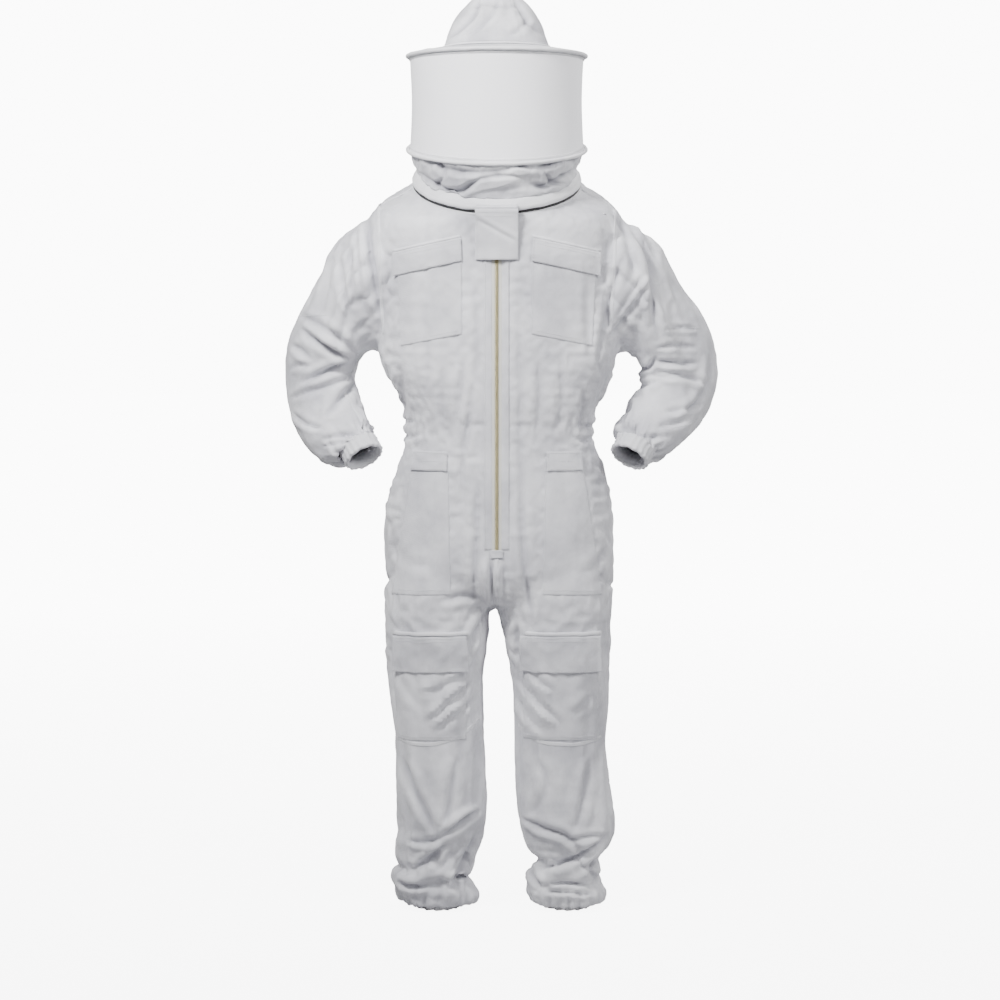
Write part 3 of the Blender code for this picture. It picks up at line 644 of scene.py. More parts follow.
def wrinkle(item):
    """Works the folds, gathers and small creases into the settled cloth."""
    item.modifiers.new("finer", "SUBSURF").levels = 1
    bake_modifiers(item)
    mesh = item.data
    points = coordinates(mesh)
    outward = normals(mesh)
    x, y, z = points.T
    facing = 1.0 - smoothstep(-0.15, 0.50, outward[:, 1])
    behind = smoothstep(-0.05, 0.50, outward[:, 1])
    height = np.zeros(len(points))
    crisp = 1.0 + 0.35 * smoothstep(0.80, 0.60, z) * smoothstep(0.12, 0.24, z)
    for line, width, depth in FRONT_FOLDS:
        height += facing * crisp * fold_field(points, line, width, depth)
    for line, width, depth in BACK_FOLDS:
        height += behind * fold_field(points, line, width, depth)
    waist_zone = smoothstep(0.115, 0.16, np.abs(x)) * (y < 0.02) + (y > 0.02)
    trunk = np.abs(x) < 0.235
    height += gathers(points, (0, 0, 0.925), (0, 0, 1), 0.030, 0.0034, 46, 3) * waist_zone * trunk
    for name, side in SIDES.items():
        start, heading = WRISTS[name]
        close = np.linalg.norm(points - np.array(start), axis=1) < 0.085
        height += gathers(points, start, heading, 0.034, 0.0036, 17, 11 + side) * close
        own_side = (x * side > 0) & (z < 0.2)
        centre = (side * 0.125 + 0.0115, 0, 0.022)
        height += gathers(points, centre, (0, 0, 1), 0.024, 0.0032, 22, 17 + side) * own_side
    front = smoothstep(0.22, 0.17, np.abs(x)) * facing
    limp = 1.0 - 0.6 * front * smoothstep(0.60, 0.66, z)
    height += 0.0040 * limp * noise_field(points, (13.0, 13.0, 7.0), 21)
    height += 0.0020 * limp ** 1.5 * noise_field(points, (30.0, 30.0, 14.0), 22)
    height += 0.0010 * limp * noise_field(points, (70.0, 70.0, 55.0), 23)
    height = np.clip(height, -0.014, 0.011)
    moved = points + outward * height[:, None]
    placket = (1.0 - smoothstep(0.010, 0.034, np.abs(x))) * (y < 0) * smoothstep(0.66, 0.70, z)
    share = (moved[:, 2] - ZIP_LOW.z) / (ZIP_HIGH.z - ZIP_LOW.z)
    flat = ZIP_LOW.y + (ZIP_HIGH.y - ZIP_LOW.y) * share + 0.0012
    moved[:, 1] += (flat - moved[:, 1]) * placket
    set_coordinates(mesh, moved)
    # The fold heights go to the cotton material as the fold attribute, which paints shade into the creases.
    shade = mesh.attributes.new("fold", "FLOAT", "POINT")
    shade.data.foreach_set("value", (height * 80.0).astype(np.float32))



# ---------------------------------------------------------------- pieces split at the joints

HIP_START = Vector((0.0, 0.0, 0.580))
KNEE_TOP = 0.405
ARMHOLE_X = 0.2255
ARMHOLE_REACH = 0.033
ELBOW_REACH = 0.034


def hip_direction(side):
    return Vector((side * 0.4985, 0.0, -0.8669))


def elbow_direction(name):
    upper = (ELBOWS[name] - Vector(JOINTS["shoulder_" + name]["pos_m"])).normalized()
    return (upper + WRISTS[name][1]).normalized()


def zone_of(point):
    """The part of the garment a point belongs to: the body, or the joint it lies at."""
    name = "left" if point.x > 0 else "right"
    side = SIDES[name]
    if point.z < KNEE_TOP + 0.012:
        return "knee_" + name
    clear = 0.207 if point.z < 0.97 else 0.232 if point.z < 1.02 else ARMHOLE_X + ARMHOLE_REACH
    beside = abs(point.x) > clear and point.z > 0.84
    if beside and (point - ELBOWS[name]).dot(elbow_direction(name)) > -ELBOW_REACH - 0.004:
        return "elbow_" + name
    if abs(point.x) > ARMHOLE_X and point.z > 1.02:
        return "shoulder_" + name
    if (point - HIP_START).dot(hip_direction(side)) > -0.004:
        return "hip_" + name
    return "body"


def attach(item, zone):
    """Joins a piece of the main body to the coverall; a piece in any other zone only has its transform baked into its
    mesh.
    """
    if zone == "body":
        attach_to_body(item, "coverall")
        return
    joint, name = zone.split("_")
    if joint == "hip":
        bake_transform(item)
    elif joint == "knee":
        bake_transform(item)
    elif joint == "shoulder":
        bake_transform(item)
    else:
        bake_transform(item)


PIECE_NAMES = {"body": "torso", "hip": "thigh", "knee": "shin", "shoulder": "sleeve_top", "elbow": "sleeve_low"}
CAD_COVERED = {
    "body": ["front_panel_left", "front_panel_right", "back_panel", "crotch_gusset", "waist_elastic"],
    "hip": ["thigh_"],
    "knee": ["shin_"],
    "shoulder": ["upper_sleeve_"],
    "elbow": ["lower_sleeve_", "elbow_patch_"],
}


def split_by_zone(item, label, covers=False):
    """Divides a mesh into one object per zone; with covers, the pieces keep the shading of the whole."""
    mesh = item.data
    shading = normals(mesh).copy()
    stored = mesh.attributes.new("whole_normal", "FLOAT_VECTOR", "POINT")
    stored.data.foreach_set("vector", shading.astype(np.float32).ravel())
    zones = [zone_of(Vector(polygon.center)) for polygon in mesh.polygons]
    pieces = {}
    for zone in sorted(set(zones)):
        copy = mesh.copy()
        build = bmesh.new()
        build.from_mesh(copy)
        doomed = [face for face, own in zip(build.faces, zones) if own != zone]
        bmesh.ops.delete(build, geom=doomed, context="FACES")
        build.to_mesh(copy)
        build.free()
        joint, _, name = zone.partition("_")
        title = label + "_" + PIECE_NAMES[joint] + ("_" + name if name else "")
        piece = bpy.data.objects.new(title, copy)
        bpy.context.scene.collection.objects.link(piece)
        copy.shade_smooth()
        kept = np.zeros(len(copy.vertices) * 3, np.float32)
        copy.attributes["whole_normal"].data.foreach_get("vector", kept)
        if covers:
            copy.normals_split_custom_set_from_vertices([tuple(n) for n in kept.reshape(-1, 3)])
        copy.attributes.remove(copy.attributes["whole_normal"])
        attach(piece, zone)
        if covers:
            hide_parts(*[node + name if node.endswith("_") else node for node in CAD_COVERED[joint]])
        pieces[zone] = piece
    bpy.data.objects.remove(item)
    return pieces


# ---------------------------------------------------------------- sewing on the cloth

class Cloth:
    """Finds places on the finished cloth."""

    def __init__(self, item):
        self.points = coordinates(item.data)
        self.normals = normals(item.data)
        self.faces = [tuple(p.vertices) for p in item.data.polygons]
        self.tree = BVHTree.FromPolygons([tuple(p) for p in self.points], self.faces)

    def smooth_normal(self, index):
        total = sum((self.normals[i] for i in self.faces[index]), np.zeros(3))
        return Vector(total).normalized()

    def near(self, point):
        place, _, index, _ = self.tree.find_nearest(Vector(point))
        return place, self.smooth_normal(index)

    def front(self, x, z, behind=False):
        """The cloth straight ahead of or behind a place in the (x, z) plane."""
        y, step = (1.0, -1.0) if behind else (-1.0, 1.0)
        place, _, index, _ = self.tree.ray_cast(Vector((x, y, z)), Vector((0, step, 0)))
        if place is None:
            return self.near((x, -0.1 * step, z))
        return place, self.smooth_normal(index)


def even_line(line, spacing):
    """The same line with evenly spaced points."""
    line = [Vector(p) for p in line]
    lengths = [0.0]
    for a, b in zip(line[:-1], line[1:]):
        lengths.append(lengths[-1] + (b - a).length)
    count = max(2, int(lengths[-1] / spacing) + 1)
    result = []
    k = 0
    for i in range(count):
        want = lengths[-1] * i / (count - 1)
        while k < len(line) - 2 and lengths[k + 1] < want:
            k += 1
        span = max(lengths[k + 1] - lengths[k], 1e-9)
        result.append(line[k].lerp(line[k + 1], min(max((want - lengths[k]) / span, 0.0), 1.0)))
    return result


class Sewing:
    """Collects strips and stitches as plain geometry."""

    def __init__(self):
        self.points = []
        self.faces = []

    def add(self, points, faces):
        base = len(self.points)
        self.points.extend(Vector(p) for p in points)
        self.faces.extend(tuple(base + i for i in face) for face in faces)

    def strip(self, places, width, lift):
        """A raised strip along places given as (point, normal), with closed rounded sides."""
        section = ((-0.5, -0.0010), (-0.5, lift * 0.7), (-0.36, lift), (0.36, lift), (0.5, lift * 0.7), (0.5, -0.0010))
        rows = []
        for i, (place, normal) in enumerate(places):
            before = places[max(i - 1, 0)][0]
            after = places[min(i + 1, len(places) - 1)][0]
            side = (after - before).normalized().cross(normal).normalized()
            rows.append([place + side * (u * width) + normal * h for u, h in section])
        count = len(section)
        points = [p for row in rows for p in row]
        faces = []
        for r in range(len(rows) - 1):
            for c in range(count - 1):
                faces.append((r * count + c, r * count + c + 1, (r + 1) * count + c + 1, (r + 1) * count + c))
        faces.append(tuple(reversed(range(count))))
        faces.append(tuple(range((len(rows) - 1) * count, len(rows) * count)))
        self.add(points, faces)

    def stitches(self, places, aside=0.0, length=0.0032, gap=0.0013, lift=0.0006, thick=0.0005):
        """A row of short raised threads along a line."""
        line = []
        for i, (place, normal) in enumerate(places):
            before = places[max(i - 1, 0)][0]
            after = places[min(i + 1, len(places) - 1)][0]
            side = (after - before).normalized().cross(normal).normalized()
            line.append((place + side * aside + normal * lift, normal, side))
        walked = 0.0
        for (a, normal, side), (b, _, _) in zip(line[:-1], line[1:]):
            span = (b - a).length
            if span < 1e-6:
                continue
            direction = (b - a) / span
            while walked < span:
                start = a + direction * walked
                end = start + direction * min(length, span)
                self.thread(start, end, normal, side, thick)
                walked += length + gap
            walked -= span

    def thread(self, start, end, normal, side, thick):
        """One stitch: a small lozenge with a raised middle."""
        middle = (start + end) / 2.0
        points = [start, middle + side * thick, end, middle - side * thick, middle + normal * thick * 1.3]
        self.add(points, [(0, 1, 4), (1, 2, 4), (2, 3, 4), (3, 0, 4), (0, 3, 2, 1)])

    def item(self, name):
        return mesh_object(name, self.points, self.faces)


def on_front(cloth, line, behind=False, spacing=0.006):
    """A line given in millimetres across the front, laid on the cloth."""
    curve = smooth_curve(np.array(line, float) * 0.001, 4)
    return [cloth.front(p.x, p.z, behind) for p in even_line([(x, 0, z) for x, z in curve], spacing)]


def on_cloth(cloth, line, spacing=0.006):
    """A line in space, laid on the nearest cloth."""
    return [cloth.near(p) for p in even_line([Vector(p) for p in smooth_curve(line, 4)], spacing)]


def panel(name, cloth, corners, lift, puff, columns=26, rows=26, seed=1, thick=0.0, sag=0.0, stiff=0.0, drop=0.0012):
    """A closed patch over the cloth: its rim is sewn down and its middle stands off a little.

    corners are (x, z): lower inner, lower outer, upper outer, upper inner.
    """
    a, b, c, d = [Vector((x, 0, z)) for x, z in corners]
    grid = []
    for r in range(rows + 1):
        v = r / rows
        row = []
        for k in range(columns + 1):
            u = k / columns
            flat = a.lerp(b, u).lerp(d.lerp(c, u), v)
            flat.z -= sag * 4 * u * (1 - u) * (1 - v)
            place, normal = cloth.front(flat.x, flat.z)
            row.append((place, normal))
        grid.append(row)
    if stiff:
        depth = np.array([[place.y for place, _ in row] for row in grid])
        for _ in range(int(stiff)):
            padded = np.pad(depth, 1, mode="edge")
            average = (padded[:-2, 1:-1] + padded[2:, 1:-1] + padded[1:-1, :-2] + padded[1:-1, 2:]) / 4
            depth = np.minimum(average, depth) * 0.7 + average * 0.3
        for r, row in enumerate(grid):
            for k, (place, normal) in enumerate(row):
                grid[r][k] = (Vector((place.x, min(depth[r, k], place.y), place.z)), normal)
    top = []
    for r, row in enumerate(grid):
        v = r / rows
        for k, (place, normal) in enumerate(row):
            u = k / columns
            middle = (math.sin(math.pi * u) * math.sin(math.pi * v)) ** 0.5
            ripple = 0.0016 * noise.noise(Vector((place.x * 26, place.z * 17, seed * 4.3)))
            height = lift + (puff + ripple) * middle
            direction = (normal * 0.5 + Vector((0, -0.5, 0))).normalized()
            top.append(place + direction * height)
    width = columns + 1
    faces = [(r * width + k, r * width + k + 1, (r + 1) * width + k + 1, (r + 1) * width + k)
             for r in range(rows) for k in range(columns)]
    rim = [k for k in range(width)]
    rim += [r * width + columns for r in range(1, rows + 1)]
    rim += [rows * width + k for k in range(columns - 1, -1, -1)]
    rim += [r * width for r in range(rows - 1, 0, -1)]
    points = list(top)
    first = len(points)
    for i in rim:
        r, k = divmod(i, width)
        points.append(top[i] + Vector((0, thick if thick else lift + drop, 0)))
    for i in range(len(rim)):
        j = (i + 1) % len(rim)
        faces.append((rim[j], rim[i], first + i, first + j))
    if thick:
        back = len(points)
        points += [p + Vector((0, thick, 0)) for p in top]
        faces += [(back + r * width + k, back + (r + 1) * width + k, back + (r + 1) * width + k + 1,
                   back + r * width + k + 1) for r in range(rows) for k in range(columns)]
        for i, corner in enumerate(rim):
            points[back + corner] = points[first + i]
    item = mesh_object(name, points, faces)
    build = bmesh.new()
    build.from_mesh(item.data)
    bmesh.ops.remove_doubles(build, verts=build.verts, dist=0.00001)
    bmesh.ops.recalc_face_normals(build, faces=build.faces)
    build.to_mesh(item.data)
    build.free()
    bevel = item.modifiers.new("soft edge", "BEVEL")
    bevel.width = 0.0006
    bevel.segments = 2
    bevel.limit_method = "ANGLE"
    bevel.angle_limit = math.radians(40)
    bake_modifiers(item)
    edges = {"bottom": [top[k] for k in range(width)],
             "outer": [top[r * width + columns] for r in range(rows + 1)],
             "top": [top[rows * width + k] for k in range(width)],
             "inner": [top[r * width] for r in range(rows + 1)]}
    return item, np.array([tuple(p) for p in top]).reshape(rows + 1, width, 3), edges


def panel_row(top, edge, inset):
    """Points a little way inside one edge of a panel, with the panel's own outward direction."""
    rows, columns = top.shape[0] - 1, top.shape[1] - 1
    size_u = np.linalg.norm(top[rows // 2, -1] - top[rows // 2, 0])
    size_v = np.linalg.norm(top[-1, columns // 2] - top[0, columns // 2])
    u = inset / size_u * columns
    v = inset / size_v * rows
    result = []
    steps = columns if edge in ("bottom", "top") else rows
    for i in range(steps + 1):
        if edge in ("bottom", "top"):
            r = v if edge == "bottom" else rows - v
            c = min(max(i, u), columns - u)
        else:
            c = u if edge == "inner" else columns - u
            r = min(max(i, v), rows - v)
        r0, c0 = min(int(r), rows - 1), min(int(c), columns - 1)
        fr, fc = r - r0, c - c0
        point = (top[r0, c0] * (1 - fr) * (1 - fc) + top[r0 + 1, c0] * fr * (1 - fc)
                 + top[r0, c0 + 1] * (1 - fr) * fc + top[r0 + 1, c0 + 1] * fr * fc)
        across = top[r0, c0 + 1] - top[r0, c0]
        up = top[r0 + 1, c0] - top[r0, c0]
        normal = Vector(across).cross(Vector(up)).normalized()
        if normal.y > 0:
            normal = -normal
        result.append((Vector(point), normal))
    return result


# ---------------------------------------------------------------- materials

def new_material(name):
    material = bpy.data.materials.new(name)
    material.use_nodes = True
    tree = material.node_tree
    shader = tree.nodes["Principled BSDF"]
    return material, tree, shader


def node(tree, kind, **values):
    made = tree.nodes.new(kind)
    for key, value in values.items():
        if key in made.inputs:
            made.inputs[key].default_value = value
        else:
            setattr(made, key, value)
    return made


def place_at(tree, scale):
    """Object-space coordinates scaled per axis."""
    source = node(tree, "ShaderNodeTexCoord")
    mapping = node(tree, "ShaderNodeMapping", Scale=scale)
    tree.links.new(source.outputs["Object"], mapping.inputs["Vector"])
    return mapping.outputs["Vector"]


def cloth_material(name, colour, dark, weave=900.0, crumple=1.0, folds=True):
    """Washed cotton: twill weave and soft creases, with painted shade darkening the folds and the ridges left a little
    lighter.
    """
    material, tree, shader = new_material(name)
    shader.inputs["Roughness"].default_value = 0.88
    shader.inputs["Sheen Weight"].default_value = 0.25
    shader.inputs["Sheen Roughness"].default_value = 0.5
    mottle = node(tree, "ShaderNodeTexNoise", Scale=9.0, Detail=5.0, Roughness=0.6)
    tree.links.new(place_at(tree, (1, 1, 1)), mottle.inputs["Vector"])
    mix = node(tree, "ShaderNodeMix", data_type="RGBA")
    mix.inputs[6].default_value = (*dark, 1)
    mix.inputs[7].default_value = (*colour, 1)
    spread = node(tree, "ShaderNodeMapRange")
    spread.inputs["From Min"].default_value = 0.30
    spread.inputs["From Max"].default_value = 0.62
    tree.links.new(mottle.outputs["Fac"], spread.inputs["Value"])
    level = spread.outputs["Result"]
    # Painted shade: the stored fold heights pull the colour towards the dark colour in the creases, and a little on
    # flat cloth too, while the ridges keep the mottled colour.
    if folds:
        fold = node(tree, "ShaderNodeAttribute", attribute_name="fold")
        depth = node(tree, "ShaderNodeMapRange")
        depth.inputs["From Min"].default_value = -0.55
        depth.inputs["From Max"].default_value = 0.10
        tree.links.new(fold.outputs["Fac"], depth.inputs["Value"])
        both = node(tree, "ShaderNodeMath", operation="MULTIPLY")
        tree.links.new(level, both.inputs[0])
        tree.links.new(depth.outputs["Result"], both.inputs[1])
        level = both.outputs["Value"]
    tree.links.new(level, mix.inputs["Factor"])
    tree.links.new(mix.outputs[2], shader.inputs["Base Color"])
    twill = node(tree, "ShaderNodeTexWave", Scale=weave / 6.0, Distortion=0.6, Detail=1.0)
    twill.bands_direction = "DIAGONAL"
    tree.links.new(place_at(tree, (1, 1, 1)), twill.inputs["Vector"])
    crease = node(tree, "ShaderNodeTexNoise", Scale=70.0, Detail=6.0, Roughness=0.62, Distortion=0.4)
    tree.links.new(place_at(tree, (1, 1, 0.7)), crease.inputs["Vector"])
    fine = node(tree, "ShaderNodeBump", Strength=0.25, Distance=0.0003)
    tree.links.new(twill.outputs["Fac"], fine.inputs["Height"])
    soft = node(tree, "ShaderNodeBump", Strength=0.35 * crumple, Distance=0.0022)
    tree.links.new(crease.outputs["Fac"], soft.inputs["Height"])
    tree.links.new(fine.outputs["Normal"], soft.inputs["Normal"])
    tree.links.new(soft.outputs["Normal"], shader.inputs["Normal"])
    return material


def net_material():
    """Fine woven net: a close grid of threads with small holes between them, brightened by a faint painted glow."""
    material, tree, shader = new_material("net")
    shader.inputs["Base Color"].default_value = (0.97, 0.97, 1.0, 1)
    shader.inputs["Roughness"].default_value = 0.7
    shader.inputs["Sheen Weight"].default_value = 0.2
    # Painted light: a faint white glow makes the net brighter than the lamps alone would.
    shader.inputs["Emission Color"].default_value = (0.97, 0.97, 1.0, 1)
    shader.inputs["Emission Strength"].default_value = 0.28
    source = node(tree, "ShaderNodeUVMap", uv_map="weave")
    waves = []
    for direction in ("X", "Y"):
        wave = node(tree, "ShaderNodeTexWave", Scale=1.0, Distortion=0.0)
        wave.bands_direction = direction
        tree.links.new(source.outputs["UV"], wave.inputs["Vector"])
        waves.append(wave.outputs["Fac"])
    thread = node(tree, "ShaderNodeMath", operation="MAXIMUM")
    tree.links.new(waves[0], thread.inputs[0])
    tree.links.new(waves[1], thread.inputs[1])
    cover = node(tree, "ShaderNodeMapRange")
    cover.inputs["From Min"].default_value = 0.15
    cover.inputs["From Max"].default_value = 0.34
    cover.inputs["To Min"].default_value = 0.78
    tree.links.new(thread.outputs["Value"], cover.inputs["Value"])
    tree.links.new(cover.outputs["Result"], shader.inputs["Alpha"])
    lump = node(tree, "ShaderNodeBump", Strength=0.4, Distance=0.0004)
    tree.links.new(thread.outputs["Value"], lump.inputs["Height"])
    tree.links.new(lump.outputs["Normal"], shader.inputs["Normal"])
    return material


def hard_material(name, colour, worn, metallic, roughness):
    """Metal or nylon with rubbed, uneven places."""
    material, tree, shader = new_material(name)
    shader.inputs["Metallic"].default_value = metallic
    patches = node(tree, "ShaderNodeTexNoise", Scale=160.0, Detail=4.0)
    tree.links.new(place_at(tree, (1, 1, 1)), patches.inputs["Vector"])
    mix = node(tree, "ShaderNodeMix", data_type="RGBA")
    mix.inputs[6].default_value = (*colour, 1)
    mix.inputs[7].default_value = (*worn, 1)
    tree.links.new(patches.outputs["Fac"], mix.inputs["Factor"])
    tree.links.new(mix.outputs[2], shader.inputs["Base Color"])
    rough = node(tree, "ShaderNodeMapRange")
    rough.inputs["To Min"].default_value = roughness - 0.12
    rough.inputs["To Max"].default_value = roughness + 0.15
    tree.links.new(patches.outputs["Fac"], rough.inputs["Value"])
    tree.links.new(rough.outputs["Result"], shader.inputs["Roughness"])
    return material


# The dark colour of COTTON and VEIL_COTTON serves both the random mottle and the painted shade in the folds.
COTTON = cloth_material("cotton", (0.83, 0.83, 0.865), (0.50, 0.50, 0.545))
CUFF_COTTON = cloth_material("cuff_cotton", (0.82, 0.82, 0.85), (0.62, 0.62, 0.66), folds=False)
VEIL_COTTON = cloth_material("veil_cotton", (0.80, 0.80, 0.83), (0.42, 0.42, 0.46), crumple=1.5)
BINDING = cloth_material("binding", (0.90, 0.90, 0.92), (0.76, 0.76, 0.79), weave=1500, folds=False)
THREAD = cloth_material("thread", (0.92, 0.92, 0.94), (0.84, 0.84, 0.87), weave=3000, folds=False)
ZIP_TAPE = cloth_material("zip_tape", (0.74, 0.73, 0.68), (0.62, 0.61, 0.57), weave=2000, folds=False)
NET = net_material()
BRASS = hard_material("brass", (0.40, 0.35, 0.19), (0.62, 0.56, 0.36), 0.85, 0.42)
NYLON = hard_material("black_nylon", (0.018, 0.018, 0.020), (0.050, 0.050, 0.055), 0.0, 0.45)


def finish_piece(item, material, slot, *replaced):
    item.data.materials.clear()
    item.data.materials.append(material)
    if replaced:
        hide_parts(*replaced)
    return item


# ---------------------------------------------------------------- coverall

def mirrored(line, side):
    return [(x * side, z) for x, z in line]


def make_pockets(cloth, stitches):
    """Chest, hip and thigh pockets, with their topstitching."""
    for name, side in SIDES.items():
        chest = ((0.064, 1.100), (0.178, 1.078), (0.184, 1.238), (0.064, 1.262))
        item, top, _ = panel("chest_pocket_" + name, cloth, mirrored(chest, side), 0.0012, 0.0016, seed=side, stiff=2)
        finish_piece(item, COTTON, "cotton", "chest_pocket_" + name)
        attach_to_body(item, "coverall")
        for edge, inset in (("bottom", 0.002), ("bottom", 0.008), ("inner", 0.002), ("outer", 0.002)):
            stitches.stitches(panel_row(top, edge, inset))

        hip = ((0.086, 0.615), (0.198, 0.612), (0.158, 0.870), (0.090, 0.872))
        item, top, _ = panel("hip_pocket_" + name, cloth, mirrored(hip, side), 0.0012, 0.0024, seed=5 + side, stiff=1)
        finish_piece(item, COTTON, "cotton", "hip_pocket_" + name)
        attach(item, "hip_" + name)
        for edge, inset in (("bottom", 0.002), ("bottom", 0.009), ("inner", 0.002), ("outer", 0.002)):
            stitches.stitches(panel_row(top, edge, inset))
        welt = ((0.092, 0.846), (0.160, 0.846), (0.157, 0.882), (0.092, 0.882))
        item, top, _ = panel("hip_pocket_welt_" + name, cloth, mirrored(welt, side), 0.0050, 0.0008, 20, 10, stiff=4,
                             thick=0.0018)
        finish_piece(item, COTTON, "cotton", "hip_pocket_welt_" + name)
        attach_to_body(item, "coverall")
        for edge in ("bottom", "top", "inner", "outer"):
            stitches.stitches(panel_row(top, edge, 0.003))
        stitches.stitches(panel_row(top, "bottom", 0.018))

        low = 0.050 if side > 0 else 0.058
        thigh = ((low, 0.337), (0.192, 0.335), (0.190, 0.505), (low, 0.505))
        item, top, _ = panel("thigh_pocket_" + name, cloth, mirrored(thigh, side), 0.0012, 0.0030, seed=9 + side, stiff=1)
        finish_piece(item, COTTON, "cotton", "thigh_pocket_" + name)
        attach(item, "knee_" + name)
        for edge, inset in (("bottom", 0.002), ("bottom", 0.008), ("inner", 0.002), ("outer", 0.002)):
            stitches.stitches(panel_row(top, edge, inset))


def make_flaps(cloth):
    """Pocket flaps that lift on their own bodies."""
    for name, side in SIDES.items():
        chest = ((0.064, 1.2345), (0.192, 1.2065), (0.192, 1.2505), (0.066, 1.2775))
        low = 0.044 if side > 0 else 0.055
        thigh = ((low, 0.4675), (0.195, 0.4660), (0.193, 0.5350), (low + 0.002, 0.5360))
        for label, corners, lift in (("chest_flap_", chest, 0.0050), ("thigh_flap_", thigh, 0.0062)):
            item, top, _ = panel(label + name, cloth, mirrored(corners, side), lift, 0.0012, 34, 14, seed=13 + side,
                                 thick=0.0018, stiff=14)
            finish_piece(item, COTTON, "cotton", label + name)
            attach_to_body(item, label + name)
            rows = Sewing()
            for edge, inset in (("bottom", 0.0025), ("inner", 0.0025), ("outer", 0.0025), ("top", 0.0030),
                                ("top", 0.0090)):
                rows.stitches(panel_row(top, edge, inset))
            thread = finish_piece(rows.item(label + "stitches_" + name), THREAD, "cotton")
            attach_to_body(thread, label + name)


# The band each flap hangs from: its line in millimetres, its width and its height in metres
FLAP_TOPS = (
    (((66, 1280), (192, 1253)), 0.0045, 0.0020),
    (((55, 540), (193, 539)), 0.0075, 0.0052),
)


def make_seams(cloth, seams, stitches):
    """Felled seams, each a raised strip with a row of stitches along both edges."""
    lines = []
    for name, side in SIDES.items():
        armhole = [(side * x, z) for x, z in ((222, 1350), (221, 1300), (218, 1230), (215, 1160), (212, 1100))]
        lines.append(on_front(cloth, armhole))
        lines.append(on_front(cloth, armhole, behind=True))
        lines.append(on_cloth(cloth, [(side * x, 0.008, z) for x, z in
                                      ((0.200, 1.08), (0.175, 1.0), (0.150, 0.93), (0.150, 0.89), (0.182, 0.8),
                                       (0.195, 0.7), (0.195, 0.62))]))
        lines.append(on_cloth(cloth, [(side * x, 0.006, z) for x, z in
                                      ((0.195, 0.62), (0.195, 0.5), (0.185, 0.4), (0.175, 0.3), (0.175, 0.2),
                                       (0.165, 0.1), (0.160, 0.05))]))
        lines.append(on_cloth(cloth, [(side * x, 0.0, z) for x, z in
                                      ((0.012, 0.565), (0.022, 0.5), (0.036, 0.4), (0.040, 0.3), (0.052, 0.2),
                                       (0.082, 0.1), (0.082, 0.05))]))
        lines.append(on_cloth(cloth, [(side * x, -0.012, z) for x, z in
                                      ((0.160, 1.40), (0.180, 1.385), (0.205, 1.375), (0.226, 1.36))]))
        under = [centre - wide * 0.75 for centre, _, wide, _ in sleeve_frames(side)]
        lines.append(on_cloth(cloth, [point for point in under if 0.89 < point.z < 1.09]))
        patch_low = ((-392, 950), (-360, 929), (-322, 922)) if side < 0 else ((404, 958), (370, 932), (330, 922))
        patch_high = ((-386, 1132), (-350, 1134), (-322, 1134)) if side < 0 else ((384, 1110), (350, 1111), (312, 1108))
        for flap_top, width, height in FLAP_TOPS:
            seams.strip(on_front(cloth, [(side * x, z) for x, z in flap_top]), width, height)
        stitches.stitches(on_front(cloth, patch_low), lift=0.0008, thick=0.0008)
        stitches.stitches(on_front(cloth, patch_high), lift=0.0008, thick=0.0008)
    knees = {"right": ((-194, 336), (-150, 328), (-105, 332), (-62, 350), (-34, 370)),
             "left": ((42, 356), (62, 340), (97, 330), (150, 328), (198, 337))}
    for line in knees.values():
        lines.append(on_front(cloth, line))
    lines.append(on_front(cloth, ((0, 690), (-3, 650), (-4, 612), (0, 588))))
    lines.append(on_front(cloth, ((0, 1362), (0, 1200), (0, 1000), (0, 800), (0, 640), (0, 592)), behind=True))
    lines.append(on_front(cloth, ((-214, 1262), (-120, 1250), (0, 1246), (120, 1250), (214, 1262)), behind=True))
    for places in lines:
        seams.strip(places, 0.0070, 0.0009)
        for aside in (-0.0022, 0.0022):
            stitches.stitches(places, aside=aside, lift=0.0009)
    for z in (905, 945):
        channel = on_front(cloth, ((-176, z), (-90, z), (0, z), (90, z), (176, z)), behind=True)
        stitches.stitches(channel, lift=0.0006)


def make_cuff(name, centre, axis, wide, deep, height, count, depth, body, material, slot, *replaced):
    """A gathered elastic cuff: a rolled ring of cloth with fine pleats."""
    axis = Vector(axis).normalized()
    side = Vector(wide)
    other = Vector(deep)
    columns = count * 6
    profile = ((-0.0040, 0.00), (-0.0010, 0.00), (0.0012, 0.04), (0.0022, 0.14), (0.0002, 0.30), (0.0020, 0.48),
               (0.0002, 0.66), (0.0022, 0.84), (0.0014, 0.95), (-0.0010, 1.00), (-0.0040, 1.00))
    points = []
    for offset, rise in profile:
        for c in range(columns):
            angle = math.tau * c / columns
            pleat = math.sin(angle * count + 1.4 * noise.noise(Vector((angle * 2, rise * 3, count))))
            pleat *= depth * (0.35 + 0.65 * abs(rise - 0.5) * 2) * (offset > -0.003)
            radial = side * math.cos(angle) + other * math.sin(angle)
            points.append(Vector(centre) + radial + radial.normalized() * (offset + pleat)
                          + axis * (height * (rise - 0.5) + 0.0008 * math.sin(angle * count * 0.5)))
    faces = []
    for r in range(len(profile) - 1):
        for c in range(columns):
            d = (c + 1) % columns
            faces.append((r * columns + c, r * columns + d, (r + 1) * columns + d, (r + 1) * columns + c))
    last = (len(profile) - 1) * columns
    for c in range(columns):
        d = (c + 1) % columns
        faces.append((last + c, last + d, d, c))
    item = mesh_object(name, points, faces)
    build = bmesh.new()
    build.from_mesh(item.data)
    bmesh.ops.recalc_face_normals(build, faces=build.faces)
    build.to_mesh(item.data)
    build.free()
    finish_piece(item, material, slot, *replaced)
    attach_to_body(item, body)
    return item


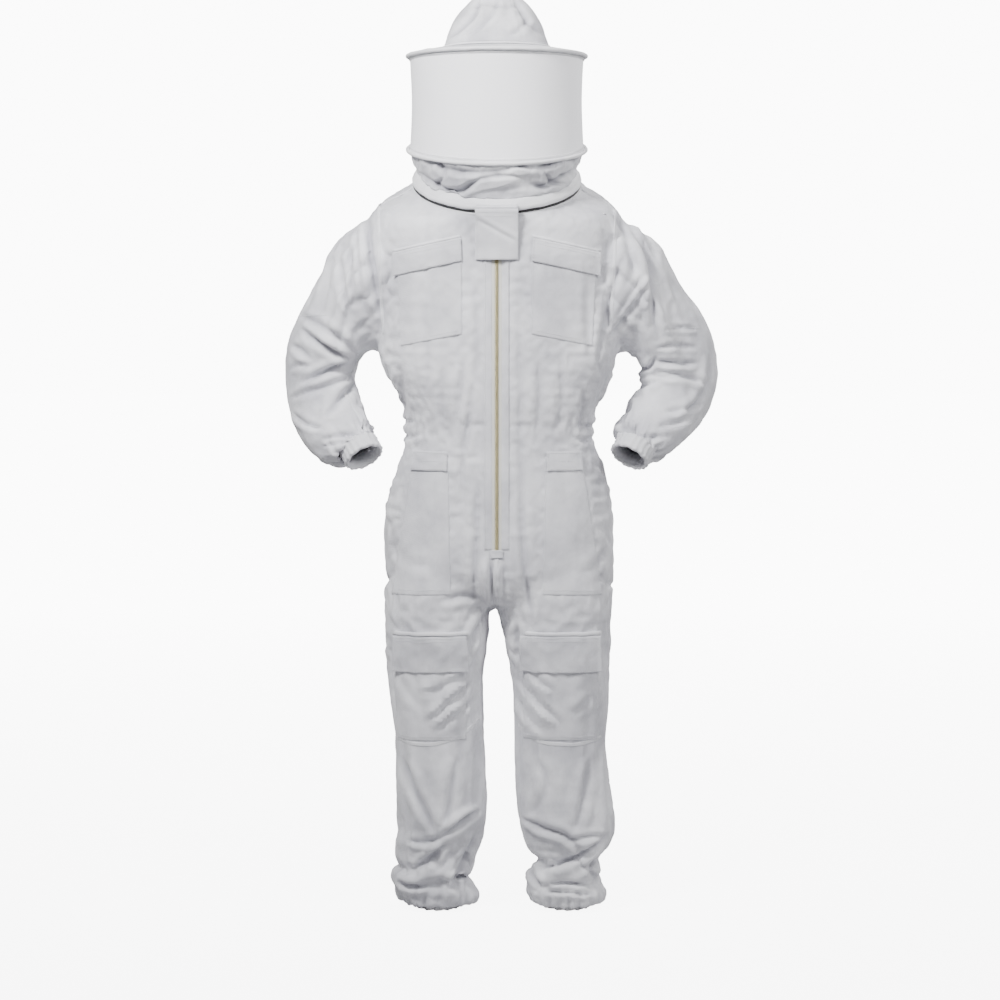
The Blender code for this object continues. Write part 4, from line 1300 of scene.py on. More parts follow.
def make_cuffs():
    for name, side in SIDES.items():
        start, heading = WRISTS[name]
        across = Vector(JOINTS["elbow_" + name]["axis"]).normalized()
        across = (across - heading * across.dot(heading)).normalized()
        outer = across.cross(heading).normalized()
        make_cuff("wrist_cuff_" + name, start + heading * 0.0155, heading, outer * 0.0365, across * 0.0365, 0.031, 20,
                  0.0011, "forearm_" + name, CUFF_COTTON, "cotton", "wrist_cuff_" + name, "wrist_elastic_" + name)
        low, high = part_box("ankle_cuff_" + name)
        centre = (low + high) / 2
        make_cuff("ankle_cuff_" + name, centre, (0, 0, 1), Vector(((high.x - low.x) / 2 - 0.0015, 0, 0)),
                  Vector((0, (high.y - low.y) / 2 - 0.0015, 0)), high.z - low.z - 0.001, 26, 0.0014, "shin_" + name,
                  CUFF_COTTON, "cotton", "ankle_cuff_" + name, "ankle_elastic_" + name)


# ---------------------------------------------------------------- main zip

def zip_front(z):
    """The front of the zip chain at a height."""
    share = (z - ZIP_LOW.z) / (ZIP_HIGH.z - ZIP_LOW.z)
    return ZIP_LOW.y + (ZIP_HIGH.y - ZIP_LOW.y) * share


def box_shape(centre, half, turn=None):
    points = []
    for x in (-1, 1):
        for y in (-1, 1):
            for z in (-1, 1):
                offset = Vector((x * half[0], y * half[1], z * half[2]))
                if turn:
                    offset = turn @ offset
                points.append(Vector(centre) + offset)
    faces = [(0, 1, 3, 2), (4, 6, 7, 5), (0, 4, 5, 1), (2, 3, 7, 6), (0, 2, 6, 4), (1, 5, 7, 3)]
    return points, faces


def bevelled(item, width, segments=2):
    modifier = item.modifiers.new("edge", "BEVEL")
    modifier.width = width
    modifier.segments = segments
    modifier.limit_method = "ANGLE"
    return bake_modifiers(item)


def make_zip(cloth, stitches):
    """Brass teeth on two tapes, with a bar tack at the bottom and a fold of cloth each side."""
    teeth = Sewing()
    z = ZIP_LOW.z + 0.002
    k = 0
    while z < ZIP_HIGH.z:
        side = 1 if k % 2 else -1
        teeth.add(*box_shape((side * 0.0007, zip_front(z) - 0.0002, z), (0.0034, 0.0013, 0.00080)))
        z += 0.0021
        k += 1
    item = bevelled(teeth.item("main_zip_teeth"), 0.0003, 1)
    finish_piece(item, BRASS, "brass", "main_zip_chain")
    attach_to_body(item, "coverall")
    heights = np.linspace(ZIP_LOW.z - 0.010, ZIP_HIGH.z + 0.004, 120)
    for name, side in SIDES.items():
        tape = Sewing()
        tape.strip([(Vector((side * 0.0052, zip_front(h) + 0.0004, h)), Vector((0, -1, 0))) for h in heights], 0.0086, 0.0006)
        item = finish_piece(tape.item("main_zip_tape_" + name), ZIP_TAPE, "zip_tape", "main_zip_tape_" + name)
        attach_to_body(item, "coverall")
        fold = ((0.0085, 0.700), (0.0230, 0.700), (0.0235, 1.318), (0.0090, 1.318))
        item, top, _ = panel("placket_" + name, cloth, mirrored(fold, side), 0.0016, 0.0012, 10, 120, seed=20 + side)
        finish_piece(item, COTTON, "cotton", "placket_" + name)
        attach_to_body(item, "coverall")
        stitches.stitches(panel_row(top, "outer", 0.002))
    tack, top, _ = panel("main_zip_bottom_stop", cloth, ((-0.012, 0.684), (0.012, 0.684), (0.012, 0.699), (-0.012, 0.699)),
                         0.0030, 0.0006, 10, 8, thick=0.0012)
    finish_piece(tack, COTTON, "cotton", "main_zip_bottom_stop")
    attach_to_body(tack, "coverall")
    for edge in ("bottom", "top", "inner", "outer"):
        stitches.stitches(panel_row(top, edge, 0.002), length=0.0016, gap=0.0004)

    low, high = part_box("main_zip_slider")
    centre, half = (low + high) / 2, (high - low) / 2
    body = Sewing()
    body.add(*box_shape(centre + Vector((0, half.y * 0.45, 0)), (half.x * 0.95, half.y * 0.5, half.z * 0.95)))
    body.add(*box_shape(centre + Vector((0, -half.y * 0.55, half.z * 0.35)), (half.x * 0.32, half.y * 0.42, half.z * 0.30)))
    item = finish_piece(bevelled(body.item("main_zip_slider_body"), 0.0006), BRASS, "brass", "main_zip_slider")
    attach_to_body(item, "zip_slider")
    make_pull("main_zip_pull_tab", "main_zip_pull", "zip_pull", BRASS, "brass")


def make_pull(name, cad, body, material, slot):
    """A puller: a thin tab with a slotted end."""
    low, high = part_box(cad)
    size = high - low
    centre = (low + high) / 2
    long_axis = 2 if size.z > size.x else 0
    length, width = (size.z, size.x) if long_axis == 2 else (size.x, size.z)
    outline = []
    for i in range(24):
        angle = math.tau * i / 24
        outline.append((0.5 * length * signed_power(math.cos(angle), 0.55), 0.5 * width * signed_power(math.sin(angle), 0.6)))
    hole = [(0.27 * length * math.cos(math.tau * i / 24), 0.24 * width * math.sin(math.tau * i / 24)) for i in range(24)]
    hole = [(a - 0.06 * length, b) for a, b in hole]
    points = []
    for ring, y in ((outline, -0.5), (outline, 0.5), (hole, 0.5), (hole, -0.5)):
        for a, b in ring:
            offset = Vector((b, y * size.y * 0.9, a)) if long_axis == 2 else Vector((a, y * size.y * 0.9, b))
            points.append(centre + offset)
    faces = []
    for r in range(4):
        s = (r + 1) % 4
        for i in range(24):
            j = (i + 1) % 24
            faces.append((r * 24 + i, r * 24 + j, s * 24 + j, s * 24 + i))
    item = mesh_object(name, points, faces)
    build = bmesh.new()
    build.from_mesh(item.data)
    bmesh.ops.recalc_face_normals(build, faces=build.faces)
    build.to_mesh(item.data)
    build.free()
    bevelled(item, 0.00025)
    finish_piece(item, material, slot, cad)
    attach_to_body(item, body)
    return item


# ---------------------------------------------------------------- neck ring and veil

LOWER_HOOP = box_centre("lower_hoop")
UPPER_HOOP = box_centre("upper_hoop")
hoop_low, hoop_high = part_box("upper_hoop")
HOOP_WIRE = (hoop_high.z - hoop_low.z) / 2
HOOP_RADIUS = (hoop_high.x - hoop_low.x) / 2 - HOOP_WIRE
lower_low, lower_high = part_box("lower_hoop")
HOOP_TILT = math.asin(min(1.0, (lower_high.z - lower_low.z - 2 * HOOP_WIRE) / (2 * HOOP_RADIUS)))
UP = Vector((0.0, 0.0, 1.0))
BACKWARD = Vector((0.0, 1.0, 0.0))
LOWER_AXIS = Vector((0.0, -math.sin(HOOP_TILT), math.cos(HOOP_TILT)))
LOWER_BACK = Vector((0.0, math.cos(HOOP_TILT), math.sin(HOOP_TILT)))
ACROSS = Vector((1.0, 0.0, 0.0))
LEVEL_RING = (ACROSS, BACKWARD, UP)
NECK_RING = (ACROSS, NECK_BACK, NECK_AXIS)
LOWER_RING = (ACROSS, LOWER_BACK, LOWER_AXIS)


def ring_point(centre, ring, radius, angle, rise=0.0):
    right, back, axis = ring
    return centre + right * (radius * math.cos(angle)) + back * (radius * math.sin(angle)) + axis * rise


def turned(name, centre, ring, profile, columns, ripple=None, close_profile=False, span=(0.0, math.tau)):
    """A surface swept round a ring from a (radius, rise) profile."""
    whole = span[1] - span[0] > math.tau - 0.001
    count = columns if whole else columns + 1
    points = []
    for p, (radius, rise) in enumerate(profile):
        for c in range(count):
            angle = span[0] + (span[1] - span[0]) * c / columns
            extra_radius, extra_rise = ripple(angle, p / (len(profile) - 1)) if ripple else (0.0, 0.0)
            points.append(ring_point(centre, ring, radius + extra_radius, angle, rise + extra_rise))
    faces = []
    rows = len(profile)
    for r in range(rows if close_profile else rows - 1):
        s = (r + 1) % rows
        for c in range(columns):
            d = (c + 1) % count
            faces.append((r * count + c, r * count + d, s * count + d, s * count + c))
    item = mesh_object(name, points, faces)
    build = bmesh.new()
    build.from_mesh(item.data)
    bmesh.ops.remove_doubles(build, verts=build.verts, dist=0.00001)
    bmesh.ops.recalc_face_normals(build, faces=build.faces)
    build.to_mesh(item.data)
    build.free()
    return item


def tube_profile(radius, wire, steps=12, squash=1.0):
    return [(radius + wire * math.cos(math.tau * i / steps), wire * squash * math.sin(math.tau * i / steps))
            for i in range(steps)]


def crumple(angle, place, scale, seed):
    return noise.noise(Vector((math.cos(angle) * scale, math.sin(angle) * scale, place * 3.0 + seed * 5.0)))


def ring_stitches(rows, centre, ring, radius, rise, columns=240, span=(0.0, math.tau), face_up=False):
    """Stitches round a ring, on its outer side or on its upper side."""
    places = []
    for c in range(columns + 1):
        angle = span[0] + (span[1] - span[0]) * c / columns
        point = ring_point(centre, ring, radius, angle, rise)
        outward = ring[2] if face_up else (ring_point(centre, ring, radius + 0.01, angle, rise) - point).normalized()
        places.append((point, outward))
    rows.stitches(places, lift=0.0002, length=0.0034)


def make_neck_ring():
    """The bound neckline and the black zip that runs round it."""
    low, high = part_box("collar_binding")
    radius = (high.x - low.x) / 2
    profile = ((radius - 0.0050, -0.0028), (radius - 0.0004, -0.0026), (radius + 0.0010, -0.0034),
               (radius + 0.0014, -0.0052), (radius + 0.0006, -0.0072), (radius - 0.0030, -0.0090),
               (radius - 0.0056, -0.0080))

    def ripple(angle, place):
        return 0.0010 * crumple(angle, place, 9.0, 2), 0.0007 * crumple(angle, place, 7.0, 3)

    item = turned("collar_binding_roll", NECK_CENTRE, NECK_RING, profile, 180, ripple, close_profile=True)
    finish_piece(item, BINDING, "binding", "collar_binding")
    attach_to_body(item, "coverall")
    rows = Sewing()
    ring_stitches(rows, NECK_CENTRE, NECK_RING, radius + 0.0016, -0.0052)
    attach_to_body(finish_piece(rows.item("collar_stitches"), THREAD, "cotton"), "coverall")

    for name, body, rise, sign in (("neck_zip_lower", "coverall", -0.0010, -1), ("neck_zip_upper", "veil", 0.0016, 1)):
        coil = Sewing()
        tape = tube_profile(NECK_RADIUS - 0.0002, 0.0012, 8, 0.9)
        band = turned(name + "_coil", NECK_CENTRE, NECK_RING, [(r, h + rise) for r, h in tape], 160, close_profile=True)
        finish_piece(band, NYLON, "black_nylon", name)
        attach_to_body(band, body)
        teeth = 460
        for i in range(teeth):
            angle = math.tau * (i + 0.5 * (sign > 0)) / teeth
            centre = ring_point(NECK_CENTRE, NECK_RING, NECK_RADIUS + 0.0010, angle, rise - sign * 0.0004)
            turn = Matrix.Rotation(math.radians(23), 3, "X") @ Matrix.Rotation(angle, 3, "Z")
            coil.add(*box_shape(centre, (0.0009, 0.00055, 0.00115), turn))
        item = finish_piece(coil.item(name + "_teeth"), NYLON, "black_nylon")
        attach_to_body(item, body)
    for name, side in SIDES.items():
        low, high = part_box("neck_zip_slider_" + name)
        centre, half = (low + high) / 2, (high - low) / 2
        body = Sewing()
        turn = Matrix.Rotation(math.radians(23), 3, "X")
        body.add(*box_shape(centre, (0.0046, 0.0017, 0.0034), turn))
        item = finish_piece(bevelled(body.item("neck_slider_body_" + name), 0.0007), NYLON, "black_nylon",
                            "neck_zip_slider_" + name)
        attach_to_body(item, "neck_slider_" + name)
        make_pull("neck_pull_tab_" + name, "neck_zip_pull_" + name, "neck_pull_" + name, NYLON, "black_nylon")


def make_collar():
    """The veil's padded collar band, with two rows of stitching."""
    base = NECK_RADIUS
    profile = ((base - 0.0035, 0.0036), (base + 0.0010, 0.0030), (base + 0.0028, 0.0046), (base + 0.0030, 0.0080),
               (base + 0.0016, 0.0120), (base - 0.0016, 0.0145), (base - 0.0034, 0.0175), (base - 0.0074, 0.0215),
               (base - 0.0114, 0.0240), (base - 0.0150, 0.0236), (base - 0.0130, 0.0170), (base - 0.0060, 0.0080))

    def ripple(angle, place):
        return 0.0014 * crumple(angle, place, 8.0, 5), 0.0012 * crumple(angle, place, 5.0, 6)

    item = turned("veil_collar_band", NECK_CENTRE, NECK_RING, profile, 200, ripple, close_profile=True)
    finish_piece(item, BINDING, "binding", "veil_collar")
    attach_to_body(item, "veil")
    rows = Sewing()
    ring_stitches(rows, NECK_CENTRE, NECK_RING, base - 0.0012, 0.0146)
    ring_stitches(rows, NECK_CENTRE, NECK_RING, base + 0.0031, 0.0060)
    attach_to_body(finish_piece(rows.item("veil_collar_stitches"), THREAD, "cotton"), "veil")


SKIRT_FOLDS = (
    (((-150, 1402), (-80, 1360), (-30, 1383), (60, 1391)), 8, 8),
    (((-140, 1428), (-70, 1396), (10, 1400), (80, 1420)), 9, 6),
    (((150, 1410), (112, 1386), (84, 1372), (60, 1376)), 8, 7),
    (((84, 1400), (104, 1378), (128, 1380)), 6, 7),
    (((-110, 1420), (-96, 1390), (-118, 1376)), 7, 5),
    (((20, 1420), (60, 1404), (120, 1418)), 7, 5),
)


def make_skirt():
    """Loose cloth between the collar and the lower hoop, scrunched under the hoop's weight."""
    columns = 220
    stages = 22
    rings = []
    bottom_centre = NECK_CENTRE + NECK_AXIS * 0.0225
    top_centre = LOWER_HOOP - LOWER_AXIS * 0.0010
    for i in range(stages + 1):
        t = i / stages
        radius = (NECK_RADIUS - 0.0135) * (1 - t) + (HOOP_RADIUS - 0.0038) * t - 0.0045 * math.sin(math.pi * t)
        ring = []
        for c in range(columns):
            angle = math.tau * c / columns
            low = ring_point(bottom_centre, NECK_RING, radius, angle)
            high = ring_point(top_centre, LOWER_RING, radius, angle)
            ring.append(low.lerp(high, t))
        rings.append(ring)
    points = [p for ring in rings for p in ring]
    faces = [(r * columns + c, r * columns + (c + 1) % columns, (r + 1) * columns + (c + 1) % columns, (r + 1) * columns + c)
             for r in range(stages) for c in range(columns)]
    item = mesh_object("veil_skirt_cloth", points, faces)
    group = item.vertex_groups.new(name="hold")
    for i in range(len(points)):
        row = i // columns
        group.add([i], 1.0 if row in (0, stages) else 0.03, "REPLACE")
    modifier = item.modifiers.new("cloth", "CLOTH")
    settings = modifier.settings
    settings.quality = 5
    settings.mass = 0.2
    settings.tension_stiffness = 10
    settings.compression_stiffness = 10
    settings.bending_stiffness = 0.15
    settings.vertex_group_mass = "hold"
    settings.pin_stiffness = 0.5
    settings.shrink_min = -0.13
    settings.effector_weights.gravity = 0.5
    modifier.collision_settings.use_collision = False
    for number in range(1, 21):
        bpy.context.scene.frame_set(number)
    bake_modifiers(item)
    item.vertex_groups.clear()
    bpy.context.scene.frame_set(1)
    start = np.array([tuple(p) for p in points])
    settled = coordinates(item.data)
    radial = start.copy()
    radial[:, 2] = 0
    radial /= np.linalg.norm(radial, axis=1)[:, None]
    shift = settled - start
    out = (shift * radial).sum(axis=1)
    shift -= radial * (out - np.clip(out, -0.016, 0.0045))[:, None]
    set_coordinates(item.data, start + shift)
    item.modifiers.new("finer", "SUBSURF").levels = 1
    bake_modifiers(item)
    mesh = item.data
    points = coordinates(mesh)
    outward = normals(mesh)
    height = np.zeros(len(points))
    free = np.ones(len(points))
    build = bmesh.new()
    build.from_mesh(mesh)
    for vertex in build.verts:
        if vertex.is_boundary:
            free[vertex.index] = 0.0
    build.free()
    front = 1.0 - smoothstep(-0.3, 0.3, outward[:, 1])
    for line, width, depth in SKIRT_FOLDS:
        height += front * fold_field(points, line, width, depth)
    behind = 1.0 - front
    for line, width, depth in (((( -140, 1440), (-60, 1452), (40, 1446), (140, 1436)), 10, 6),):
        height += behind * fold_field(points, line, width, depth)
    height += 0.0045 * noise_field(points, (22, 22, 40), 31) + 0.0022 * noise_field(points, (60, 60, 90), 32)
    height = np.clip(height, -0.011, 0.0055) * free
    set_coordinates(mesh, points + outward * height[:, None])
    # The fold heights go to the veil cotton as the fold attribute, which paints shade into the creases.
    shade = mesh.attributes.new("fold", "FLOAT", "POINT")
    shade.data.foreach_set("value", (height * 110.0).astype(np.float32))
    thick = item.modifiers.new("cloth thickness", "SOLIDIFY")
    thick.thickness = CLOTH_THICKNESS
    thick.offset = -1
    bake_modifiers(item)
    finish_piece(item, VEIL_COTTON, "cotton", "veil_skirt")
    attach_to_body(item, "veil")


WRAP = math.radians(100.0)
FRONT = -math.pi / 2


def make_screen():
    """Net round the front and sides, cotton behind, and a bound edge where they meet."""
    rows = 26
    radius = HOOP_RADIUS - HOOP_WIRE - 0.0006
    spans = {"mesh_front": (FRONT - WRAP, FRONT + WRAP, 130), "rear_panel": (FRONT + WRAP, FRONT + math.tau - WRAP, 90)}
    for name, (start, end, columns) in spans.items():
        points = []
        chart = []
        for r in range(rows + 1):
            t = r / rows
            for c in range(columns + 1):
                angle = start + (end - start) * c / columns
                bow = -0.0035 * math.sin(math.pi * t) + 0.0016 * crumple(angle, t * 0.6, 2.6, 8) * math.sin(math.pi * t)
                if name == "rear_panel":
                    bow += 0.0030 * crumple(angle, t, 7.0, 9) * math.sin(math.pi * t)
                low = ring_point(LOWER_HOOP, LOWER_RING, radius + bow, angle, -0.001)
                high = ring_point(UPPER_HOOP, LEVEL_RING, radius + bow, angle, 0.001)
                points.append(low.lerp(high, t))
                chart.append((angle * radius, low.z * (1 - t) + high.z * t))
        width = columns + 1
        faces = [(r * width + c, r * width + c + 1, (r + 1) * width + c + 1, (r + 1) * width + c)
                 for r in range(rows) for c in range(columns)]
        item = mesh_object(name + "_cloth", points, faces)
        layer = item.data.uv_layers.new(name="weave")
        pitch = 0.0024
        for loop in item.data.loops:
            u, v = chart[loop.vertex_index]
            layer.data[loop.index].uv = (u / pitch / 3.2, v / pitch / 3.2)
        if name == "rear_panel":
            thick = item.modifiers.new("cloth thickness", "SOLIDIFY")
            thick.thickness = CLOTH_THICKNESS
            thick.offset = -1
            bake_modifiers(item)
        finish_piece(item, NET if name == "mesh_front" else CUFF_COTTON, "net" if name == "mesh_front" else "cotton", name)
        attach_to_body(item, "veil")
    rows = Sewing()
    edging = Sewing()
    for sign in (-1, 1):
        angle = FRONT + sign * WRAP
        places = []
        for i in range(60):
            t = i / 59
            low = ring_point(LOWER_HOOP, LOWER_RING, radius + 0.0006, angle, 0.002)
            high = ring_point(UPPER_HOOP, LEVEL_RING, radius + 0.0006, angle, -0.002)
            outward = (ACROSS * math.cos(angle) + BACKWARD * math.sin(angle)).normalized()
            bow = outward * (-0.0030 * math.sin(math.pi * t))
            places.append((low.lerp(high, t) + bow, outward))
        edging.strip(places, 0.011, 0.0014)
        for aside in (-0.0035, 0.0035):
            rows.stitches(places, aside=aside, lift=0.0014)
    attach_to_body(finish_piece(edging.item("veil_side_binding"), BINDING, "binding"), "veil")
    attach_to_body(finish_piece(rows.item("veil_side_stitches"), THREAD, "cotton"), "veil")


def make_hoops():
    """Wire hoops in cotton casing, each with a narrow sewn flange."""
    for name, centre, ring, seed, flange in (("upper_hoop", UPPER_HOOP, LEVEL_RING, 1, -1), ("lower_hoop", LOWER_HOOP, LOWER_RING, 2, 1)):
        def ripple(angle, place):
            twist = 0.00030 * math.sin(angle * 120 + place * 9)
            return twist + 0.0006 * crumple(angle, place, 12.0, seed), 0.0006 * crumple(angle, place, 7.0, seed + 9)

        item = turned(name + "_casing", centre, ring, tube_profile(HOOP_RADIUS, HOOP_WIRE, 14), 260, ripple, close_profile=True)
        finish_piece(item, BINDING, "binding", name)
        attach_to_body(item, "veil")
        band = ((HOOP_RADIUS - 0.0036, flange * 0.0015), (HOOP_RADIUS - 0.0034, flange * 0.0040),
                (HOOP_RADIUS - 0.0036, flange * 0.0082), (HOOP_RADIUS - 0.0045, flange * 0.0086))

        def band_ripple(angle, place):
            return 0.0007 * crumple(angle, place, 16.0, seed + 3) * place, 0.0004 * crumple(angle, place, 16.0, seed + 4)

        item = turned(name + "_flange", centre, ring, band, 260, band_ripple)
        finish_piece(item, BINDING, "binding")
        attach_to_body(item, "veil")
        rows = Sewing()
        ring_stitches(rows, centre, ring, HOOP_RADIUS - 0.0034, flange * 0.0068)
        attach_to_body(finish_piece(rows.item(name + "_stitches"), THREAD, "cotton"), "veil")


def make_brim():
    """The flat brim between the upper hoop and the crown."""
    low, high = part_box("crown")
    crown_radius = (high.x - low.x) / 2
    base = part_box("brim")[1].z
    inner = crown_radius - 0.002
    outer = HOOP_RADIUS - 0.0015
    profile = []
    for i in range(16):
        t = i / 15
        profile.append((outer + (inner - outer) * t, HOOP_WIRE * 0.6 + (base - UPPER_HOOP.z - HOOP_WIRE * 0.6) * t ** 0.8))

    def ripple(angle, place):
        pucker = 0.0014 * math.sin(angle * 34 + 3 * crumple(angle, place, 3.0, 4)) * (1 - place) ** 2
        return 0.0, pucker + 0.0022 * crumple(angle, place, 4.0, 7) * math.sin(math.pi * place)

    item = turned("brim_cloth", UPPER_HOOP, LEVEL_RING, profile, 240, ripple)
    thick = item.modifiers.new("cloth thickness", "SOLIDIFY")
    thick.thickness = 0.0012
    thick.offset = -1
    bake_modifiers(item)
    finish_piece(item, CUFF_COTTON, "cotton", "brim")
    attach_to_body(item, "veil")


CROWN_FOLDS = (
    (((-92, 1650), (-66, 1664), (-40, 1690), (-34, 1722)), 7, 5),
    (((-70, 1648), (-38, 1660), (-10, 1690), (6, 1722)), 8, 4),
    (((88, 1656), (62, 1672), (44, 1700), (30, 1724)), 8, 4),
    (((20, 1650), (44, 1664), (62, 1688)), 7, 3),
    (((-52, 1704), (-20, 1712), (14, 1706), (50, 1712)), 8, 3),
)


def make_crown():
    """A soft domed cap cut in gores, resting on the brim."""
    low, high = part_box("crown")
    radius = (high.x - low.x) / 2
    base = low.z
    height = high.z - base
    rows = ((1.000, 0.000), (0.992, 0.06), (0.965, 0.15), (0.925, 0.25), (0.880, 0.35), (0.835, 0.446), (0.765, 0.56),
            (0.690, 0.66), (0.605, 0.75), (0.525, 0.835), (0.445, 0.900), (0.340, 0.945), (0.220, 0.968),
            (0.100, 0.978), (0.004, 0.980))
    profile = [(radius * r, height * h) for r, h in smooth_curve(rows, 3)]
    centre = Vector((0.0, 0.0, base))

    def ripple(angle, place):
        gore = -0.0011 * math.exp(-((math.sin(angle * 3) / 0.10) ** 2)) * min(1.0, (1 - place) * 4)
        soft = 0.0045 * crumple(angle, place * 0.5, 1.1, 12) + 0.0008 * crumple(angle, place, 3.5, 13)
        free = min(1.0, place * 6) * min(1.0, (1 - place) * 5)
        return (gore + soft) * free, 0.0020 * crumple(angle, place, 1.5, 14) * min(1.0, place * 3)

    item = turned("crown_cloth", centre, LEVEL_RING, profile, 180, ripple)
    mesh = item.data
    points = coordinates(mesh)
    outward = normals(mesh)
    if (outward * (points - np.array(centre))).sum() < 0:
        mesh.flip_normals()
        outward = -outward
    front = 1.0 - smoothstep(-0.2, 0.4, outward[:, 1])
    lift = np.zeros(len(points))
    for line, width, depth in CROWN_FOLDS:
        lift += front * fold_field(points, line, width, depth)
    lift *= smoothstep(base + 0.004, base + 0.02, points[:, 2])
    moved = points + outward * lift[:, None]
    moved[:, 2] = np.minimum(moved[:, 2], high.z)
    set_coordinates(mesh, moved)
    # The fold heights go to the veil cotton as the fold attribute, which paints shade into the creases.
    shade = mesh.attributes.new("fold", "FLOAT", "POINT")
    shade.data.foreach_set("value", (lift * 110.0).astype(np.float32))
    thick = item.modifiers.new("cloth thickness", "SOLIDIFY")
    thick.thickness = 0.0010
    thick.offset = -1
    bake_modifiers(item)
    finish_piece(item, VEIL_COTTON, "cotton", "crown")
    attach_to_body(item, "veil")
    rows = Sewing()
    ring_stitches(rows, centre, LEVEL_RING, radius + 0.0004, 0.0050, columns=160)
    tree = BVHTree.FromPolygons([tuple(p) for p in moved], [tuple(p.vertices) for p in item.data.polygons[:0]] or
                                [tuple(p.vertices) for p in mesh.polygons]) if False else None
    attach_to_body(finish_piece(rows.item("crown_stitches"), THREAD, "cotton"), "veil")
    piping = turned("crown_base_piping", Vector((0, 0, base + 0.0012)), LEVEL_RING, tube_profile(radius + 0.0012, 0.0017, 8), 160,
                    close_profile=True)
    finish_piece(piping, BINDING, "binding")
    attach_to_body(piping, "veil")


def make_throat_patch():
    """A square of cotton that covers the place where the zips meet."""
    low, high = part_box("throat_patch")
    hinge = Vector(JOINTS["throat_patch_lift"]["pos_m"])
    columns, rows, turned_in = 34, 38, 3
    points = []
    for r in range(-turned_in, rows + 1):
        v = max(r, 0) / rows
        back = max(-r, 0) / turned_in
        for c in range(columns + 1):
            u = c / columns
            x = (low.x + (high.x - low.x) * u) * 0.94
            z = high.z - 0.004 - (high.z - low.z - 0.004) * v
            y = low.y + 0.0005 + 0.0135 * v ** 0.8 - 0.0030 * v * math.exp(-(x / 0.014) ** 2)
            y += 0.0035 * (2 * u - 1) ** 2 * v
            crease = (x + 0.012) * 0.55 + (z - 1.296)
            y += 0.0020 * math.exp(-(crease / 0.0045) ** 2) * smoothstep(0.0, 0.2, u) * smoothstep(1.0, 0.75, u)
            y -= 0.0014 * math.exp(-((crease - 0.008) / 0.006) ** 2)
            y += 0.0012 * noise.noise(Vector((x * 40, z * 40, 3.0)))
            points.append(Vector((x, y + (hinge.y - y) * back, z + (hinge.z - z) * back)))
    width = columns + 1
    faces = [(r * width + c, (r + 1) * width + c, (r + 1) * width + c + 1, r * width + c + 1)
             for r in range(rows + turned_in) for c in range(columns)]
    item = mesh_object("throat_patch_cloth", points, faces)
    if item.data.polygons[0].normal.y > 0:
        item.data.flip_normals()
    thick = item.modifiers.new("cloth thickness", "SOLIDIFY")
    thick.thickness = 0.0019
    thick.offset = -1
    bevel = item.modifiers.new("soft edge", "BEVEL")
    bevel.width = 0.0006
    bevel.segments = 2
    bevel.limit_method = "ANGLE"
    bake_modifiers(item)
    finish_piece(item, CUFF_COTTON, "cotton", "throat_patch")
    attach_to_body(item, "throat_patch")
    top = np.array([tuple(p) for p in points[turned_in * width:]]).reshape(rows + 1, width, 3)
    sewn = Sewing()
    for edge, inset in (("bottom", 0.003), ("top", 0.003), ("inner", 0.003), ("outer", 0.003), ("bottom", 0.010)):
        sewn.stitches(panel_row(top, edge, inset))
    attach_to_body(finish_piece(sewn.item("throat_patch_stitches"), THREAD, "cotton"), "throat_patch")
    make_patch_root(hinge, high.x * 0.92)


def make_patch_root(hinge, half):
    """The narrow strip of the collar that the throat patch is sewn to."""
    columns, rows = 20, 5
    points = []
    for r in range(rows + 1):
        t = r / rows
        for c in range(columns + 1):
            u = 2 * c / columns - 1
            points.append(Vector((half * u, hinge.y + 0.0030 + 0.0125 * t, hinge.z + 0.0050 * math.sqrt(t))))
    width = columns + 1
    faces = [(r * width + c, r * width + c + 1, (r + 1) * width + c + 1, (r + 1) * width + c)
             for r in range(rows) for c in range(columns)]
    item = mesh_object("throat_patch_root", points, faces)
    thick = item.modifiers.new("cloth thickness", "SOLIDIFY")
    thick.thickness = 0.0019
    thick.offset = 1
    bake_modifiers(item)
    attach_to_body(finish_piece(item, CUFF_COTTON, "cotton"), "veil")


def make_veil():
    make_collar()
    make_skirt()
    make_screen()
    make_hoops()
    make_brim()
    make_crown()
    make_throat_patch()



DRAPE_FRAMES = 24
import time
t0 = time.time()
garment = build_base()
open_ends(garment)
print("GARMENT", len(garment.data.vertices))
drape(garment)
print("SIM", time.time() - t0)
wrinkle(garment)
print("WRINKLE", time.time() - t0, len(garment.data.vertices))
cloth = Cloth(garment)
seams = Sewing()
stitches = Sewing()
make_pockets(cloth, stitches)
make_flaps(cloth)
make_seams(cloth, seams, stitches)
make_cuffs()
make_zip(cloth, stitches)
make_neck_ring()
make_veil()
for label, item, material in (("coverall", garment, COTTON), ("seam", seams.item("seams"), CUFF_COTTON),
                              ("stitching", stitches.item("stitches"), THREAD)):
    item.data.materials.clear()
    item.data.materials.append(material)
    for piece in split_by_zone(item, label, covers=label == "coverall").values():
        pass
print("DETAIL", time.time() - t0)


# ---------------------------------------------------------------- studio

def add_light(name, location, size, energy, target):
    data = bpy.data.lights.new(name, "AREA")
    data.size = size
    data.energy = energy
    lamp = bpy.data.objects.new(name, data)
    lamp.location = location
    lamp.rotation_euler = (Vector(target) - Vector(location)).to_track_quat("-Z", "Y").to_euler()
    bpy.context.scene.collection.objects.link(lamp)
    return lamp


BACKDROP = 11.0            # brightness of the backdrop as the camera sees it


